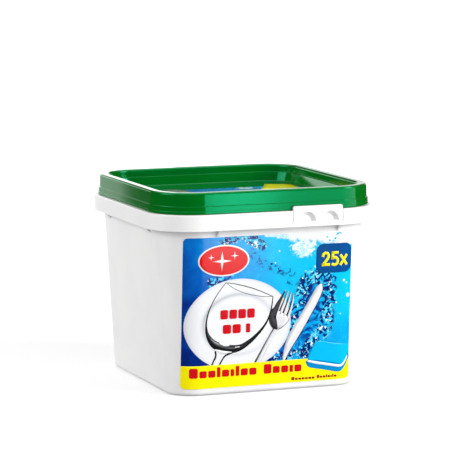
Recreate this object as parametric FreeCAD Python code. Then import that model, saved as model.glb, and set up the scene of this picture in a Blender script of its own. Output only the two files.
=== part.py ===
import FreeCAD, Part
import math
import os

from FreeCAD import Vector

# Dishwasher tablet tub: a moulded tub with a hanging collar and a tear-off
# tamper tab, a snap-on lid with a stacking recess, two in-mould labels and
# the pressed tablets inside.  Millimetres, +Z up, floor at Z = 0, front at -Y.

# ---------------------------------------------------------------- overall size
WIDTH = 130.0            # collar, left to right
DEPTH = 136.5            # collar, front to back
HEIGHT = 110.9           # floor to the crest of the lid
CORNER_R = 26.1          # collar's outer corner radius; every outline is concentric with it

# ------------------------------------------------------------------- tub walls
WALL = 1.1               # side wall
FLOOR = 1.4              # floor
DRAFT = 3.31             # degrees each side wall leans out towards the top
WALL_INSET = 5.55        # collar face to body wall, at the collar's lower edge
BASE_R = 2.2             # outside edge between wall and base
FLOOR_R = 1.5            # inside edge between wall and floor
TIGHT_R = 0.2            # the smallest moulded edges
SMALL_R = 0.3            # moulded edges in general
ROOT_R = 0.5             # inside corners and rims that a hand feels
FLOOR_LAP = 2.0          # how far the foot ring's section runs on into the floor
HAIR = 0.01              # tolerance for picking edges
FOOT_H = 0.8             # how far the base stands on its foot ring
FOOT_W = 4.5             # width of the foot ring

# ---------------------------------------------------------------------- collar
COLLAR_H = 8.9           # hanging skirt, top to bottom
COLLAR_T = 1.2           # skirt and web thickness
COLLAR_LOW_R = 0.4       # outer edges of the skirt, below and above
COLLAR_TOP_R = 0.6
BEAD_OUT = 0.6           # how far the bead stands out from the upright rim
BEAD_H = 1.3             # height of the bead's land
BEAD_DROP = 0.5          # rim top to the bead's land

GUSSET_T = 1.1           # ribs under the collar
GUSSET_DROP = 3.6        # how far a rib runs below the collar's lower edge
GUSSET_FROM_CORNER = 7.9  # rib to the end of its side's flat
GUSSET_TUCK = 1.2        # how far up inside the skirt a rib leaves it
GUSSET_KNEE = (1.6, 0.6)  # the bend in its free edge: in from the skirt, and below it
GUSSET_TIP = 0.25        # width of its lower end

# ------------------------------------------------------------------ tamper tab
TAB_W = 28.6             # its right edge is where the front's flat ends
TAB_RISE = 2.45          # above the collar's top
TAB_FOOT = 2.0           # strip of collar left below the tab
TAB_CLEAR = 0.6          # back of the tab's plate to the lid's flange
TAB_TOP_R = 1.0          # corners of the tab's upper edge
SEAM_W = 0.45            # tear line round the tab
SEAM_DEEP = 0.6
GRIP_PITCH = 13.3        # between the two finger grips
GRIP_R = 5.2             # half-round mouth of a grip
GRIP_FLOOR_R = 3.7       # half-round floor of a grip
GRIP_DEEP = 2.0
GRIP_FOOT = 0.5          # tear line up to the flat side of the grips
GRIP_WALL = 1.1

# ------------------------------------------------------------------------- lid
LID_SHOWN = 11.64        # lid height that shows above the collar
LID_T = 1.1              # wall thickness
CREST_T = 1.3            # thickness of the crest that sits on the rim
LID_GAP = 0.2            # collar top to the flange's lower edge
SEAT_GAP = 0.05          # rim top to the underside of the crest
FLANGE_INSET = 2.2       # collar face to the flange
FLANGE_H = 4.3           # collar top to the step over the flange
FOOT_BEAD_H = 1.35       # thicker edge at the flange's foot
FOOT_BEAD_OUT = 0.2
UPPER_INSET = 2.85       # collar face to the upper wall, at the step
UPPER_LEAN = 0.12        # how much further in the upper wall is at the crest
CREST_OUT_R = 1.2        # outside fillet of the crest
CREST_IN_R = 1.4         # inside fillet of the crest
CREST_W = 5.3            # upper wall to the recess wall
RECESS_DEEP = 9.5        # crest down to the panel
LEDGE_DROP = 4.3         # crest down to the small ledge in the recess wall
LEDGE_W = 0.65
RECESS_LEAN = 1.7        # how far the recess wall below the ledge leans in on its way down
PANEL_LAP = 6.0          # how far the rim's section runs on into the panel
LEDGE_FALL = 0.3         # slope of the ledge
STEP_R = 0.2             # outer edge of the step over the flange
FLANGE_FOOT_R = 0.15     # edges of the flange's thicker foot
SNAP_OUT = 0.25          # snap bead inside the lid's wall
SNAP_DROP = 1.0          # below the foot of the rim's bead
SNAP_R = 0.1
SNAP_GAP = 0.1           # running clearance between the lid's bead and the rim's bead
SEAL_GAP = 0.16          # plug bead to the tub's inner wall
SEAL_H = 1.2
SEAL_LEAD = (0.2, 0.4)   # lead-in at the plug's foot: in, and up
SEAL_BLEND = 0.8         # height over which the plug thins out above its bead

# ---------------------------------------------------------------------- labels
LABEL_T = 0.10
LABEL_R = 2.2            # label corners
LABEL_LEFT_MARGIN = 15.5   # collar's left face to the label's left edge
LABEL_RIGHT_MARGIN = 17.3  # collar's right face to the label's right edge
LABEL_FOOT = 4.0         # floor to the label's lower edge
LABEL_DROP = 3.95        # collar's lower edge to the label's upper edge
LID_LABEL_SIDE = 5.1     # green border between the recess wall and the lid's label, left and right
LID_LABEL_END = 17.3     # the same at the front and the back
LID_LABEL_R = 8.0

# --------------------------------------------------------------------- tablets
TABLET_L = 34.0
TABLET_W = 25.0
TABLET_H = 15.0
TABLET_CORNER_R = 3.0    # upright corners
TABLET_CHAMFER = 1.2     # upper and lower edges
TABLET_COUNT = 25
TABLET_CLEAR = 0.8       # least gap to the tub's walls
LAYER_GAP = 0.05         # between one layer and the next
LEAN = 33.0              # degrees that a leaning tablet is tilted
TURN_SHARE = 0.9         # of the room to turn in its cell that a flat tablet may use
SWAY = 2.0               # how far a leaning tablet may be off its row

# ------------------------------------------------------------- heights and sides
collar_top = HEIGHT - LID_SHOWN
collar_low = collar_top - COLLAR_H
web_low = collar_top - COLLAR_T
rim_top = HEIGHT - CREST_T - SEAT_GAP
step_z = collar_top + FLANGE_H
flange_low = collar_top + LID_GAP
ledge_z = HEIGHT - LEDGE_DROP
panel_top = HEIGHT - RECESS_DEEP
panel_low = panel_top - LID_T
floor_top = FOOT_H + FLOOR
side_x = WIDTH / 2 - CORNER_R
side_y = DEPTH / 2 - CORNER_R
front_y = -DEPTH / 2
bead_inset = UPPER_INSET + LID_T + SNAP_OUT + SNAP_GAP
rim_inset = bead_inset + BEAD_OUT
tab_t = FLANGE_INSET - FOOT_BEAD_OUT - TAB_CLEAR
tab_right = side_x
tab_left = tab_right - TAB_W
tab_low = collar_low + TAB_FOOT
tab_high = collar_top + TAB_RISE


def wall_inset(z):
    """Distance from the collar's face in to the body wall's outside at height z."""
    return WALL_INSET + (collar_low - z) * math.tan(math.radians(DRAFT))


def inner_inset(z):
    """Distance from the collar's face in to the tub's inside wall at height z."""
    return max(rim_inset, wall_inset(z)) + WALL


# ------------------------------------------------------------- profile to solid
def rounded_wire(points):
    """Closed wire through (inset, z, radius) points, each corner rounded by its radius."""
    spots = [Vector(inset, 0, z) for inset, z, radius in points]
    edges = []
    starts = []
    ends = []
    arcs = []
    for i, (inset, z, radius) in enumerate(points):
        here = spots[i]
        back = (spots[i - 1] - here).normalize()
        ahead = (spots[(i + 1) % len(spots)] - here).normalize()
        if radius == 0:
            starts.append(here)
            ends.append(here)
            arcs.append(None)
            continue
        half = math.acos(max(-1.0, min(1.0, back.dot(ahead)))) / 2
        reach = radius / math.tan(half)
        middle = here + (back + ahead).normalize() * (radius / math.sin(half) - radius)
        start = here + back * reach
        end = here + ahead * reach
        starts.append(start)
        ends.append(end)
        arcs.append(Part.Arc(start, middle, end).toShape())
    for i, arc in enumerate(arcs):
        if arc is not None:
            edges.append(arc)
        after = starts[(i + 1) % len(starts)]
        if (after - ends[i]).Length > 1e-6:
            edges.append(Part.LineSegment(ends[i], after).toShape())
    return Part.Wire(edges)


def carried_round(points):
    """Solid ring: a wall section of (inset, z, radius) points carried round the tub."""
    section = rounded_wire(points)
    pieces = []
    for quarter in range(4):
        along_x = quarter % 2 == 1
        reach = side_y if along_x else side_x
        run = side_x if along_x else side_y
        # Inset 0 is the collar's face, so the section is turned to face outwards.
        face = Part.Face(section)
        face = face.mirror(Vector(0, 0, 0), Vector(1, 0, 0))
        face.translate(Vector(reach + CORNER_R, -run, 0))
        side = face.extrude(Vector(0, 2 * run, 0))
        face.translate(Vector(0, 2 * run, 0))
        corner = face.revolve(Vector(reach, run, 0), Vector(0, 0, 1), 90)
        for piece in (side, corner):
            piece.rotate(Vector(0, 0, 0), Vector(0, 0, 1), 90 * quarter)
            pieces.append(piece)
    return pieces[0].fuse(pieces[1:]).removeSplitter()


def rounded_plate(inset, low, high):
    """Flat plate whose outline runs at one inset from the collar's face."""
    x = WIDTH / 2 - inset
    y = DEPTH / 2 - inset
    return corner_box(-x, x, -y, y, low, high, CORNER_R - inset)


def corner_box(x0, x1, y0, y1, low, high, radius):
    """Upright box with rounded upright edges."""
    block = Part.makeBox(x1 - x0, y1 - y0, high - low, Vector(x0, y0, low))
    upright = [e for e in block.Edges if abs(e.tangentAt(e.FirstParameter).z) > 0.5]
    return block.makeFillet(radius, upright)


def one_solid(shape):
    """The shape's single solid, as a plain solid."""
    shape = shape.removeSplitter()
    if len(shape.Solids) != 1:
        raise ValueError("expected one solid, found %d" % len(shape.Solids))
    return shape.Solids[0]


# ------------------------------------------------------------------------- tub
def tub_shell():
    """Walls, foot ring, rim with its bead, web and hanging skirt, and the floor."""
    plate_inset = wall_inset(0) + FOOT_W + FLOOR_LAP
    bead_top = rim_top - BEAD_DROP
    bead_low = bead_top - BEAD_H
    bend_z = collar_low + (WALL_INSET - rim_inset) / math.tan(math.radians(DRAFT))
    section = [
        (wall_inset(0), 0, BASE_R),
        (wall_inset(web_low), web_low, ROOT_R),
        (COLLAR_T, web_low, ROOT_R),
        (COLLAR_T, collar_low, SMALL_R),
        (0, collar_low, COLLAR_LOW_R),
        (0, collar_top, COLLAR_TOP_R),
        (rim_inset, collar_top, SMALL_R),
        (rim_inset, bead_low - BEAD_OUT, 0),
        (bead_inset, bead_low, TIGHT_R),
        (bead_inset, bead_top, SMALL_R),
        (rim_inset, rim_top, TIGHT_R),
        (rim_inset + WALL, rim_top, ROOT_R),
        (rim_inset + WALL, bend_z, 0),
        (wall_inset(floor_top) + WALL, floor_top, FLOOR_R),
        (plate_inset, floor_top, 0),
        (plate_inset, FOOT_H, 0),
        (wall_inset(0) + FOOT_W, FOOT_H, SMALL_R),
        (wall_inset(0) + FOOT_W, 0, SMALL_R),
    ]
    walls = carried_round(section)
    floor = rounded_plate(plate_inset - FLOOR_LAP / 2, FOOT_H, floor_top)
    return walls.fuse(floor).removeSplitter()


def gussets():
    """Thin ribs from wall to skirt: a section carried all round, kept only in narrow slabs."""
    tip_z = collar_low - GUSSET_DROP
    sunk = WALL / 2
    knee_in, knee_drop = GUSSET_KNEE
    ring = carried_round([
        (wall_inset(web_low) + sunk, web_low + COLLAR_T / 2, 0),
        (COLLAR_T / 2, web_low + COLLAR_T / 2, 0),
        (COLLAR_T / 2, collar_low + GUSSET_TUCK, 0),
        (COLLAR_T + knee_in, collar_low - knee_drop, 0),
        (wall_inset(tip_z) - GUSSET_TIP, tip_z, 0),
        (wall_inset(tip_z) + sunk, tip_z, 0),
    ])
    rib_x = side_x - GUSSET_FROM_CORNER
    rib_y = side_y - GUSSET_FROM_CORNER
    front_right = side_x - GUSSET_T / 2
    slabs = [rib_slab(-rib_x, -1, True), rib_slab(front_right, -1, True)]
    slabs += [rib_slab(x, 1, True) for x in (-rib_x, rib_x)]
    slabs += [rib_slab(y, end, False) for end in (-1, 1) for y in (-rib_y, rib_y)]
    return [ring.common(slab) for slab in slabs]


def rib_slab(offset, end, across):
    """Slab one rib thick, over the outer part of the front or back, or of the left or right side."""
    reach = CORNER_R
    if across:
        slab = Part.makeBox(GUSSET_T, reach, HEIGHT)
        slab.translate(Vector(offset - GUSSET_T / 2, end * DEPTH / 2 - (reach if end > 0 else 0), 0))
    else:
        slab = Part.makeBox(reach, GUSSET_T, HEIGHT)
        slab.translate(Vector(end * WIDTH / 2 - (reach if end > 0 else 0), offset - GUSSET_T / 2, 0))
    return slab


def half_cone(x, foot_z, mouth_r, floor_r, y_mouth, y_floor):
    """Half-round cup: a cone along Y, cut flat along its lower side at foot_z."""
    cone = Part.makeCone(mouth_r, floor_r, y_floor - y_mouth, Vector(x, y_mouth, foot_z), Vector(0, 1, 0))
    upper = Part.makeBox(4 * mouth_r, y_floor - y_mouth, 2 * mouth_r)
    upper.translate(Vector(x - 2 * mouth_r, y_mouth, foot_z))
    return cone.common(upper)


def tab_plate():
    """Upright plate of the tab, flush with the skirt and rising over the collar."""
    plate = Part.makeBox(TAB_W, tab_t, tab_high - tab_low, Vector(tab_left, front_y, tab_low))
    crown = [e for e in plate.Edges if e.BoundBox.ZMin > tab_high - HAIR and e.BoundBox.YLength > 0.5 * tab_t]
    return plate.makeFillet(TAB_TOP_R, crown)


def tamper_tab(tub):
    """Adds the tab with its two finger grips to the skirt and cuts the tear line round it."""
    grip_foot = tab_low + SEAM_W + GRIP_FOOT
    y_floor = front_y + GRIP_DEEP
    cups = []
    hollows = []
    for side in (-1, 1):
        x = (tab_left + tab_right) / 2 + side * GRIP_PITCH / 2
        cups.append(half_cone(x, grip_foot - GRIP_WALL, GRIP_R + GRIP_WALL, GRIP_FLOOR_R + GRIP_WALL,
                              front_y + COLLAR_T / 2, y_floor + GRIP_WALL))
        hollows.append(half_cone(x, grip_foot, GRIP_R, GRIP_FLOOR_R, front_y, y_floor))
    return tub.fuse([tab_plate()] + cups).cut(hollows + tear_line())


def tear_line():
    """Groove down both sides of the tab and along its foot."""
    side_h = collar_top - tab_low
    left = Part.makeBox(SEAM_W, SEAM_DEEP, side_h, Vector(tab_left - SEAM_W, front_y, tab_low))
    right = Part.makeBox(SEAM_W, SEAM_DEEP, side_h, Vector(tab_right, front_y, tab_low))
    foot = Part.makeBox(TAB_W + 2 * SEAM_W, SEAM_DEEP, SEAM_W, Vector(tab_left - SEAM_W, front_y, tab_low))
    return [left, right, foot]


def make_tub():
    tub = tub_shell().fuse(gussets())
    return one_solid(tamper_tab(tub))


# ------------------------------------------------------------------------- lid
def make_lid():
    """Flange, upper wall, crest, recess wall with its ledge and plug bead, and the panel."""
    crest_inset = UPPER_INSET + UPPER_LEAN
    recess_inset = crest_inset + CREST_W
    lower_recess = recess_inset + LEDGE_W
    plug_inset = lower_recess - LID_T
    seal_inset = inner_inset(panel_low) + SEAL_GAP
    inside = UPPER_INSET + LID_T
    crest_low = HEIGHT - CREST_T
    ledge_foot = ledge_z - LEDGE_FALL
    snap_z = rim_top - BEAD_DROP - BEAD_H - BEAD_OUT - SNAP_DROP
    panel_inset = lower_recess + PANEL_LAP
    lead_in, lead_up = SEAL_LEAD
    section = [
        (FLANGE_INSET - FOOT_BEAD_OUT, flange_low, SMALL_R),
        (FLANGE_INSET - FOOT_BEAD_OUT, flange_low + FOOT_BEAD_H, FLANGE_FOOT_R),
        (FLANGE_INSET, flange_low + FOOT_BEAD_H + FOOT_BEAD_OUT, 0),
        (FLANGE_INSET, step_z, STEP_R),
        (UPPER_INSET, step_z, FLANGE_FOOT_R),
        (crest_inset, HEIGHT, CREST_OUT_R),
        (recess_inset, HEIGHT, CREST_IN_R),
        (recess_inset, ledge_z, SMALL_R),
        (lower_recess, ledge_foot, TIGHT_R),
        (lower_recess + RECESS_LEAN, panel_top, ROOT_R),
        (panel_inset, panel_top, 0),
        (panel_inset, panel_low, 0),
        (seal_inset + lead_in, panel_low, TIGHT_R),
        (seal_inset, panel_low + lead_up, SNAP_R),
        (seal_inset, panel_low + SEAL_H, SNAP_R),
        (plug_inset, panel_low + SEAL_H + SEAL_BLEND, 0),
        (plug_inset, ledge_foot - LID_T, 0),
        (recess_inset - LID_T, ledge_foot + LEDGE_W - LID_T, 0),
        (recess_inset - LID_T, crest_low, SMALL_R),
        (inside + UPPER_LEAN, crest_low, SMALL_R),
        (inside, snap_z + SNAP_OUT, 0),
        (inside + SNAP_OUT, snap_z, SNAP_R),
        (inside, snap_z - SNAP_OUT, 0),
        (inside, step_z - LID_T + TIGHT_R, TIGHT_R),
        (FLANGE_INSET + LID_T, step_z - LID_T, TIGHT_R),
        (FLANGE_INSET + LID_T, flange_low, SMALL_R),
    ]
    rim = carried_round(section)
    panel = rounded_plate(panel_inset - PANEL_LAP / 2, panel_low, panel_top)
    return one_solid(rim.fuse(panel))


# ---------------------------------------------------------------------- labels
def make_front_label():
    """In-mould label: a thin skin on the front wall, wrapped a little round both corners."""
    low = LABEL_FOOT
    high = collar_low - LABEL_DROP
    below = low - LABEL_R
    above = high + LABEL_R
    skin = carried_round([
        (wall_inset(below), below, 0),
        (wall_inset(below) - LABEL_T, below, 0),
        (wall_inset(above) - LABEL_T, above, 0),
        (wall_inset(above), above, 0),
    ])
    width = WIDTH - LABEL_LEFT_MARGIN - LABEL_RIGHT_MARGIN
    start = Vector(LABEL_LEFT_MARGIN - WIDTH / 2, front_y, low)
    block = Part.makeBox(width, DEPTH / 2, high - low, start)
    corners = [e for e in block.Edges if e.BoundBox.YLength > 0.4 * DEPTH]
    return one_solid(skin.common(block.makeFillet(LABEL_R, corners)))


def make_lid_label():
    """In-mould label on the panel of the lid."""
    panel_edge = UPPER_INSET + UPPER_LEAN + CREST_W + LEDGE_W
    x = WIDTH / 2 - panel_edge - LID_LABEL_SIDE
    y = DEPTH / 2 - panel_edge - LID_LABEL_END
    return corner_box(-x, x, -y, y, panel_top, panel_top + LABEL_T, LID_LABEL_R)


# --------------------------------------------------------------------- tablets
def tablet_blank():
    """One pressed tablet lying flat, middle of its underside at the origin."""
    block = corner_box(-TABLET_W / 2, TABLET_W / 2, -TABLET_L / 2, TABLET_L / 2, 0, TABLET_H, TABLET_CORNER_R)
    rims = [e for e in block.Edges if e.BoundBox.ZLength < HAIR]
    return block.makeChamfer(TABLET_CHAMFER, rims)


def tablet_room():
    """Half the width and half the depth of the rectangle of tablets, clear of the round corners."""
    inset = inner_inset(floor_top)
    corner = CORNER_R - inset - TABLET_CORNER_R
    pull = corner * (1 - math.sqrt(0.5)) + TABLET_CLEAR * math.sqrt(0.5)
    return WIDTH / 2 - inset - pull, DEPTH / 2 - inset - pull


def tablet_grid():
    """Columns and rows in a full layer, and the pitch of each."""
    half_x, half_y = tablet_room()
    columns = int(2 * half_x // TABLET_W)
    rows = int(2 * half_y // TABLET_L)
    return columns, rows, 2 * half_x / columns, 2 * half_y / rows


def scatter(layer, column, row):
    """A value from -1 to 1 that looks random and is the same in every build."""
    return math.sin(2.4 * layer + 1.7 * column + 2.9 * row + 0.6)


def free_turn():
    """Largest turn, in degrees, at which a flat tablet still fits its own cell."""
    across, along = tablet_grid()[2:]
    diagonal = math.hypot(TABLET_W, TABLET_L)
    by_width = math.asin(min(1.0, across / diagonal)) - math.atan2(TABLET_W, TABLET_L)
    by_length = math.asin(min(1.0, along / diagonal)) - math.atan2(TABLET_L, TABLET_W)
    return math.degrees(min(by_width, by_length))


def cell_middle(layer, column, row):
    columns, rows, across, along = tablet_grid()
    x = (column - (columns - 1) / 2) * across
    y = (row - (rows - 1) / 2) * along
    return Vector(x, y, floor_top + LAYER_GAP + layer * (TABLET_H + LAYER_GAP))


def flat_tablet(layer, column, row):
    """A tablet lying flat in one cell of a layer, turned a little within its cell."""
    turn = TURN_SHARE * scatter(layer, column, row) * free_turn()
    tablet = tablet_blank()
    tablet.rotate(Vector(0, 0, 0), Vector(0, 0, 1), turn)
    tablet.translate(cell_middle(layer, column, row))
    return tablet


def leaning_tablet(layer, column, row, neighbour):
    """A tablet with its foot on the layer below, slid along until it leans on its left neighbour."""
    tablet = tablet_blank()
    tablet.rotate(Vector(0, 0, 0), Vector(0, 0, 1), 90)
    tablet.rotate(Vector(0, 0, 0), Vector(0, 1, 0), LEAN)
    place = cell_middle(layer, column, row)
    tablet.translate(place + Vector(TABLET_L, SWAY * scatter(layer, column, row), -tablet.BoundBox.ZMin))
    spare = tablet.distToShape(neighbour)[0] - LAYER_GAP
    while spare > LAYER_GAP:
        tablet.translate(Vector(-spare, 0, 0))
        spare = tablet.distToShape(neighbour)[0] - LAYER_GAP
    return tablet


def make_tablets():
    """Full flat layers, then a last layer of flat tablets with two that lean on the left column."""
    columns, rows = tablet_grid()[:2]
    cells = [(column, row) for row in range(rows) for column in range(columns)]
    full_layers = TABLET_COUNT // len(cells)
    tablets = [flat_tablet(layer, *cell) for layer in range(full_layers) for cell in cells]
    top_cells = [(0, row) for row in range(rows)] + [(column, rows - 1) for column in range(1, columns)]
    left = TABLET_COUNT - len(tablets)
    tops = [flat_tablet(full_layers, *cell) for cell in top_cells[:left]]
    leaners = [leaning_tablet(full_layers, 1, row, tops[row]) for row in range(left - len(tops))]
    return tablets + tops + leaners


# ---------------------------------------------------------------------- export
def main():
    os.makedirs("parts", exist_ok=True)
    nodes = {
        "tub": make_tub(),
        "lid": make_lid(),
        "front_label": make_front_label(),
        "lid_label": make_lid_label(),
    }
    for number, tablet in enumerate(make_tablets(), start=1):
        nodes["tablet_%02d" % number] = tablet
    for name, shape in nodes.items():
        shape.exportStep("parts/%s.step" % name)
        print("%-14s volume %9.1f mm3, valid %s" % (name, shape.Volume, shape.isValid()))


main()
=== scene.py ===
# %% [markdown]
# # A dishwasher tablet tub
#
# The real object is a white polypropylene tub with a green snap-on lid, two
# printed labels moulded into the plastic, and pressed tablets inside. The
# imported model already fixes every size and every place, so this lesson only
# makes the surfaces that are seen: each one is a formula on a grid, worked out
# with numpy in millimetres and turned into metres when it becomes a mesh.

# %% Load the frame
import math

import bmesh
import bpy
import numpy as np
from mathutils import Matrix, Vector


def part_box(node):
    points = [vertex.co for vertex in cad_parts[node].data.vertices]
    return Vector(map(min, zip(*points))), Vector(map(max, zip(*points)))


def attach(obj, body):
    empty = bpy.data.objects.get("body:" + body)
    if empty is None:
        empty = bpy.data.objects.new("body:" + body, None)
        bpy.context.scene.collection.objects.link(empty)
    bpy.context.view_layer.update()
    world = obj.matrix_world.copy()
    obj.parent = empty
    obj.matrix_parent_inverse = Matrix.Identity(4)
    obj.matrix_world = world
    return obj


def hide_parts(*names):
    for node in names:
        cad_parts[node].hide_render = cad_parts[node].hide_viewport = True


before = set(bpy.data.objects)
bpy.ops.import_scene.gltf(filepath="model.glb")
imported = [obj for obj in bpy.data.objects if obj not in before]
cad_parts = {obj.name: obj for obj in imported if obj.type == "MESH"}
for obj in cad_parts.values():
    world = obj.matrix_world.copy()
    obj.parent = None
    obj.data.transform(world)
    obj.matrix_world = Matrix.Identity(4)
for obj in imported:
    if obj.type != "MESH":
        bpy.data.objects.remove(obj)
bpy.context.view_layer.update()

MM = 0.001


def node_box(name):
    """Lowest and highest corner of a CAD node, in millimetres."""
    low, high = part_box(name)
    return np.array(low) / MM, np.array(high) / MM


tub_low, tub_high = node_box("tub")
lid_low, lid_high = node_box("lid")
print("tub", tub_high - tub_low, "lid", lid_high - lid_low)

# %% [markdown]
# ## Sizes
#
# Width, depth and the two heights are read from the frame. The wall sections
# below repeat the section sizes of the real mouldings: a tub wall that leans
# out a few degrees, a hanging collar, and a lid with a deep stacking recess.
# An *inset* is a distance from the collar's outer face in towards the middle.

# %% Sizes of the tub
WIDTH = tub_high[0] - tub_low[0]
DEPTH = tub_high[1] - tub_low[1]
HEIGHT = lid_high[2]
RIM_TOP = tub_high[2]
FLANGE_LOW = lid_low[2]

CORNER_R = 26.1
WALL = 1.1
FLOOR_TOP = 2.2
DRAFT = math.tan(math.radians(3.31))
WALL_INSET = 5.55
BASE_R, FLOOR_R = 2.2, 1.5
FOOT_H, FOOT_W = 0.8, 4.5
FLOOR_LAP = 2.0
TIGHT_R, SMALL_R, ROOT_R = 0.2, 0.3, 0.5

LID_GAP = 0.2
COLLAR_H = 8.9
COLLAR_T = 1.2
COLLAR_TOP = FLANGE_LOW - LID_GAP
COLLAR_LOW = COLLAR_TOP - COLLAR_H
WEB_LOW = COLLAR_TOP - COLLAR_T
COLLAR_LOW_R, COLLAR_TOP_R = 0.4, 0.6
BEAD_OUT, BEAD_H, BEAD_DROP = 0.6, 1.3, 0.5
BEAD_INSET = 4.3
RIM_INSET = BEAD_INSET + BEAD_OUT

SIDE_X = WIDTH / 2 - CORNER_R
SIDE_Y = DEPTH / 2 - CORNER_R
FRONT = -DEPTH / 2


def wall_inset(z):
    """Inset of the body wall's outside: it grows downwards by the draft."""
    return WALL_INSET + (COLLAR_LOW - z) * DRAFT


print("collar from %.2f to %.2f, flat front %.1f wide" % (COLLAR_LOW, COLLAR_TOP, 2 * SIDE_X))

# %% [markdown]
# ## From a section to a surface
#
# A moulded tub is one wall section carried round a rounded rectangle. The
# section is an outline whose corners carry small radii, because light catches
# those radii and that is what makes plastic look moulded. `rounded` turns the
# corner list into a smooth outline, and `carried` takes it round the track.


# %% Outlines with rounded corners
def unit(vectors):
    """Each vector divided by its own length."""
    return vectors / np.maximum(np.linalg.norm(vectors, axis=-1, keepdims=True), 1e-12)


def rounded(corners, steps=4, closed=False):
    """Outline of (a, b, radius) corners, each replaced by an arc of its radius.

    The arc's centre lies on the corner's bisector, radius / sin(half angle)
    away; its points turn from the first tangent point to the second by
    spherical interpolation, sin((1 - t) w) and sin(t w) over sin(w).
    """
    data = np.array(corners, float)
    spot, radius = data[:, :2], data[:, 2:3].copy()
    if not closed:
        radius[[0, -1]] = 0
    back = unit(np.roll(spot, 1, axis=0) - spot)
    ahead = unit(np.roll(spot, -1, axis=0) - spot)
    half = np.arccos(np.clip((back * ahead).sum(1, keepdims=True), -1, 1)) / 2
    half = np.clip(half, 0.02, math.pi / 2 - 1e-4)
    centre = spot + unit(back + ahead) * radius / np.sin(half)
    start = spot + back * radius / np.tan(half) - centre
    end = spot + ahead * radius / np.tan(half) - centre
    sweep = (math.pi - 2 * half)[:, None, :]
    t = np.linspace(0, 1, steps + 1)[None, :, None]
    arc = start[:, None] * np.sin((1 - t) * sweep) + end[:, None] * np.sin(t * sweep)
    outline = (centre[:, None] + arc / np.sin(sweep)).reshape(-1, 2)
    apart = np.linalg.norm(outline - np.roll(outline, 1, axis=0), axis=1) > 1e-5
    if not closed:
        apart[0] = True
    return outline[apart]


# %% Tracks round a rounded rectangle
TURN_STEPS = 24


def stations(steps):
    """Angle of each station round the four corners, and the signs of its corner's x and y."""
    corner = np.repeat(np.arange(4), steps + 1)
    angle = np.radians(np.tile(np.linspace(0, 90, steps + 1), 4) + 90 * corner)
    return angle, np.where((corner == 0) | (corner == 3), 1, -1), np.where(corner < 2, 1, -1)


def carried(outline, reach_x, reach_y, radius):
    """Grid of points: one row for each (inset, z) and one column for each station.

    A station is a corner's centre, at (+-reach_x, +-reach_y), plus
    (radius - inset) times (cos, sin) of its angle; the flats are the long
    spans between one corner's last station and the next one's first.
    """
    angle, side_x, side_y = stations(TURN_STEPS)
    arm = radius - outline[:, :1]
    x = side_x * reach_x + arm * np.cos(angle)
    y = side_y * reach_y + arm * np.sin(angle)
    return np.stack([x, y, np.broadcast_to(outline[:, 1:], x.shape)], axis=-1)


# %% Faces of a grid
def grid_faces(rows, columns, wrap):
    """Four-cornered faces between neighbouring rows and columns of a grid."""
    column = np.arange(columns if wrap else columns - 1)
    row = np.arange(rows - 1)[:, None]
    after = (column + 1) % columns
    quads = [row * columns + column, row * columns + after,
             (row + 1) * columns + after, (row + 1) * columns + column]
    return np.stack(np.broadcast_arrays(*quads), axis=-1).reshape(-1, 4).tolist()


def closed_faces(rows, columns):
    """Faces of a grid that wraps round, with a cap over its first and last row."""
    first = list(range(columns))[::-1]
    last = list(range((rows - 1) * columns, rows * columns))
    return grid_faces(rows, columns, True) + [first, last]


# %% [markdown]
# ## Meshes and their normals
#
# A mesh becomes a piece of the object when it rides on a body, has a finish,
# and its normals point outwards. Weighted normals keep the large flats flat
# and let the small radii do all the turning, as on a real moulding.


# %% Make a piece
def make_mesh(name, points, faces):
    """Object at the origin whose mesh has these points, given in millimetres."""
    mesh = bpy.data.meshes.new(name)
    mesh.from_pydata((np.asarray(points).reshape(-1, 3) * MM).tolist(), [], faces)
    piece = bpy.data.objects.new(name, mesh)
    bpy.context.scene.collection.objects.link(piece)
    return piece


def face_outwards(piece):
    """Turns the faces of a closed mesh so that they all point outwards."""
    work = bmesh.new()
    work.from_mesh(piece.data)
    bmesh.ops.recalc_face_normals(work, faces=work.faces)
    work.to_mesh(piece.data)
    work.free()


def apply_modifiers(piece):
    """Replaces the mesh with what its modifiers make of it."""
    ready = piece.evaluated_get(bpy.context.evaluated_depsgraph_get())
    mesh = bpy.data.meshes.new_from_object(ready)
    piece.modifiers.clear()
    piece.data = mesh


def soften(piece, sharp_degrees=38):
    """Smooth shading, with face-weighted normals and sharp edges kept."""
    piece.data.shade_smooth()
    piece.data.set_sharp_from_angle(angle=math.radians(sharp_degrees))
    weighted = piece.modifiers.new("weighted", "WEIGHTED_NORMAL")
    weighted.keep_sharp = True
    apply_modifiers(piece)


def settle(piece, finish, body, slot, *stands_for):
    """Gives a piece its finish and its body, and hides the CAD nodes that it stands for; the slot is not used.
    """
    piece.data.materials.clear()
    piece.data.materials.append(finish)
    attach(piece, body)
    if stands_for:
        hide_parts(*stands_for)
    return piece


# %% [markdown]
# ## Finishes
#
# A finish is a small network of nodes. `add` makes one node and fills its
# sockets: a socket is linked, anything else becomes the default value. All
# patterns read Object coordinates or an attribute of the mesh, so they stay
# with the piece when it moves.


# %% Node helpers
def new_finish(name):
    """Empty node material and its output node."""
    material = bpy.data.materials.new(name)
    material.use_nodes = True
    tree = material.node_tree
    tree.nodes.clear()
    return material, tree, tree.nodes.new("ShaderNodeOutputMaterial")


def add(tree, kind, inputs=None, **settings):
    """New node with its settings and inputs."""
    node = tree.nodes.new("ShaderNode" + kind)
    for key, value in settings.items():
        setattr(node, key, value)
    for key, value in (inputs or {}).items():
        if isinstance(value, bpy.types.NodeSocket):
            tree.links.new(value, node.inputs[key])
        else:
            node.inputs[key].default_value = value
    return node


def plus(tree, first, second):
    """Sum of two values."""
    return add(tree, "Math", {0: first, 1: second}, operation="ADD").outputs[0]


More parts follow.
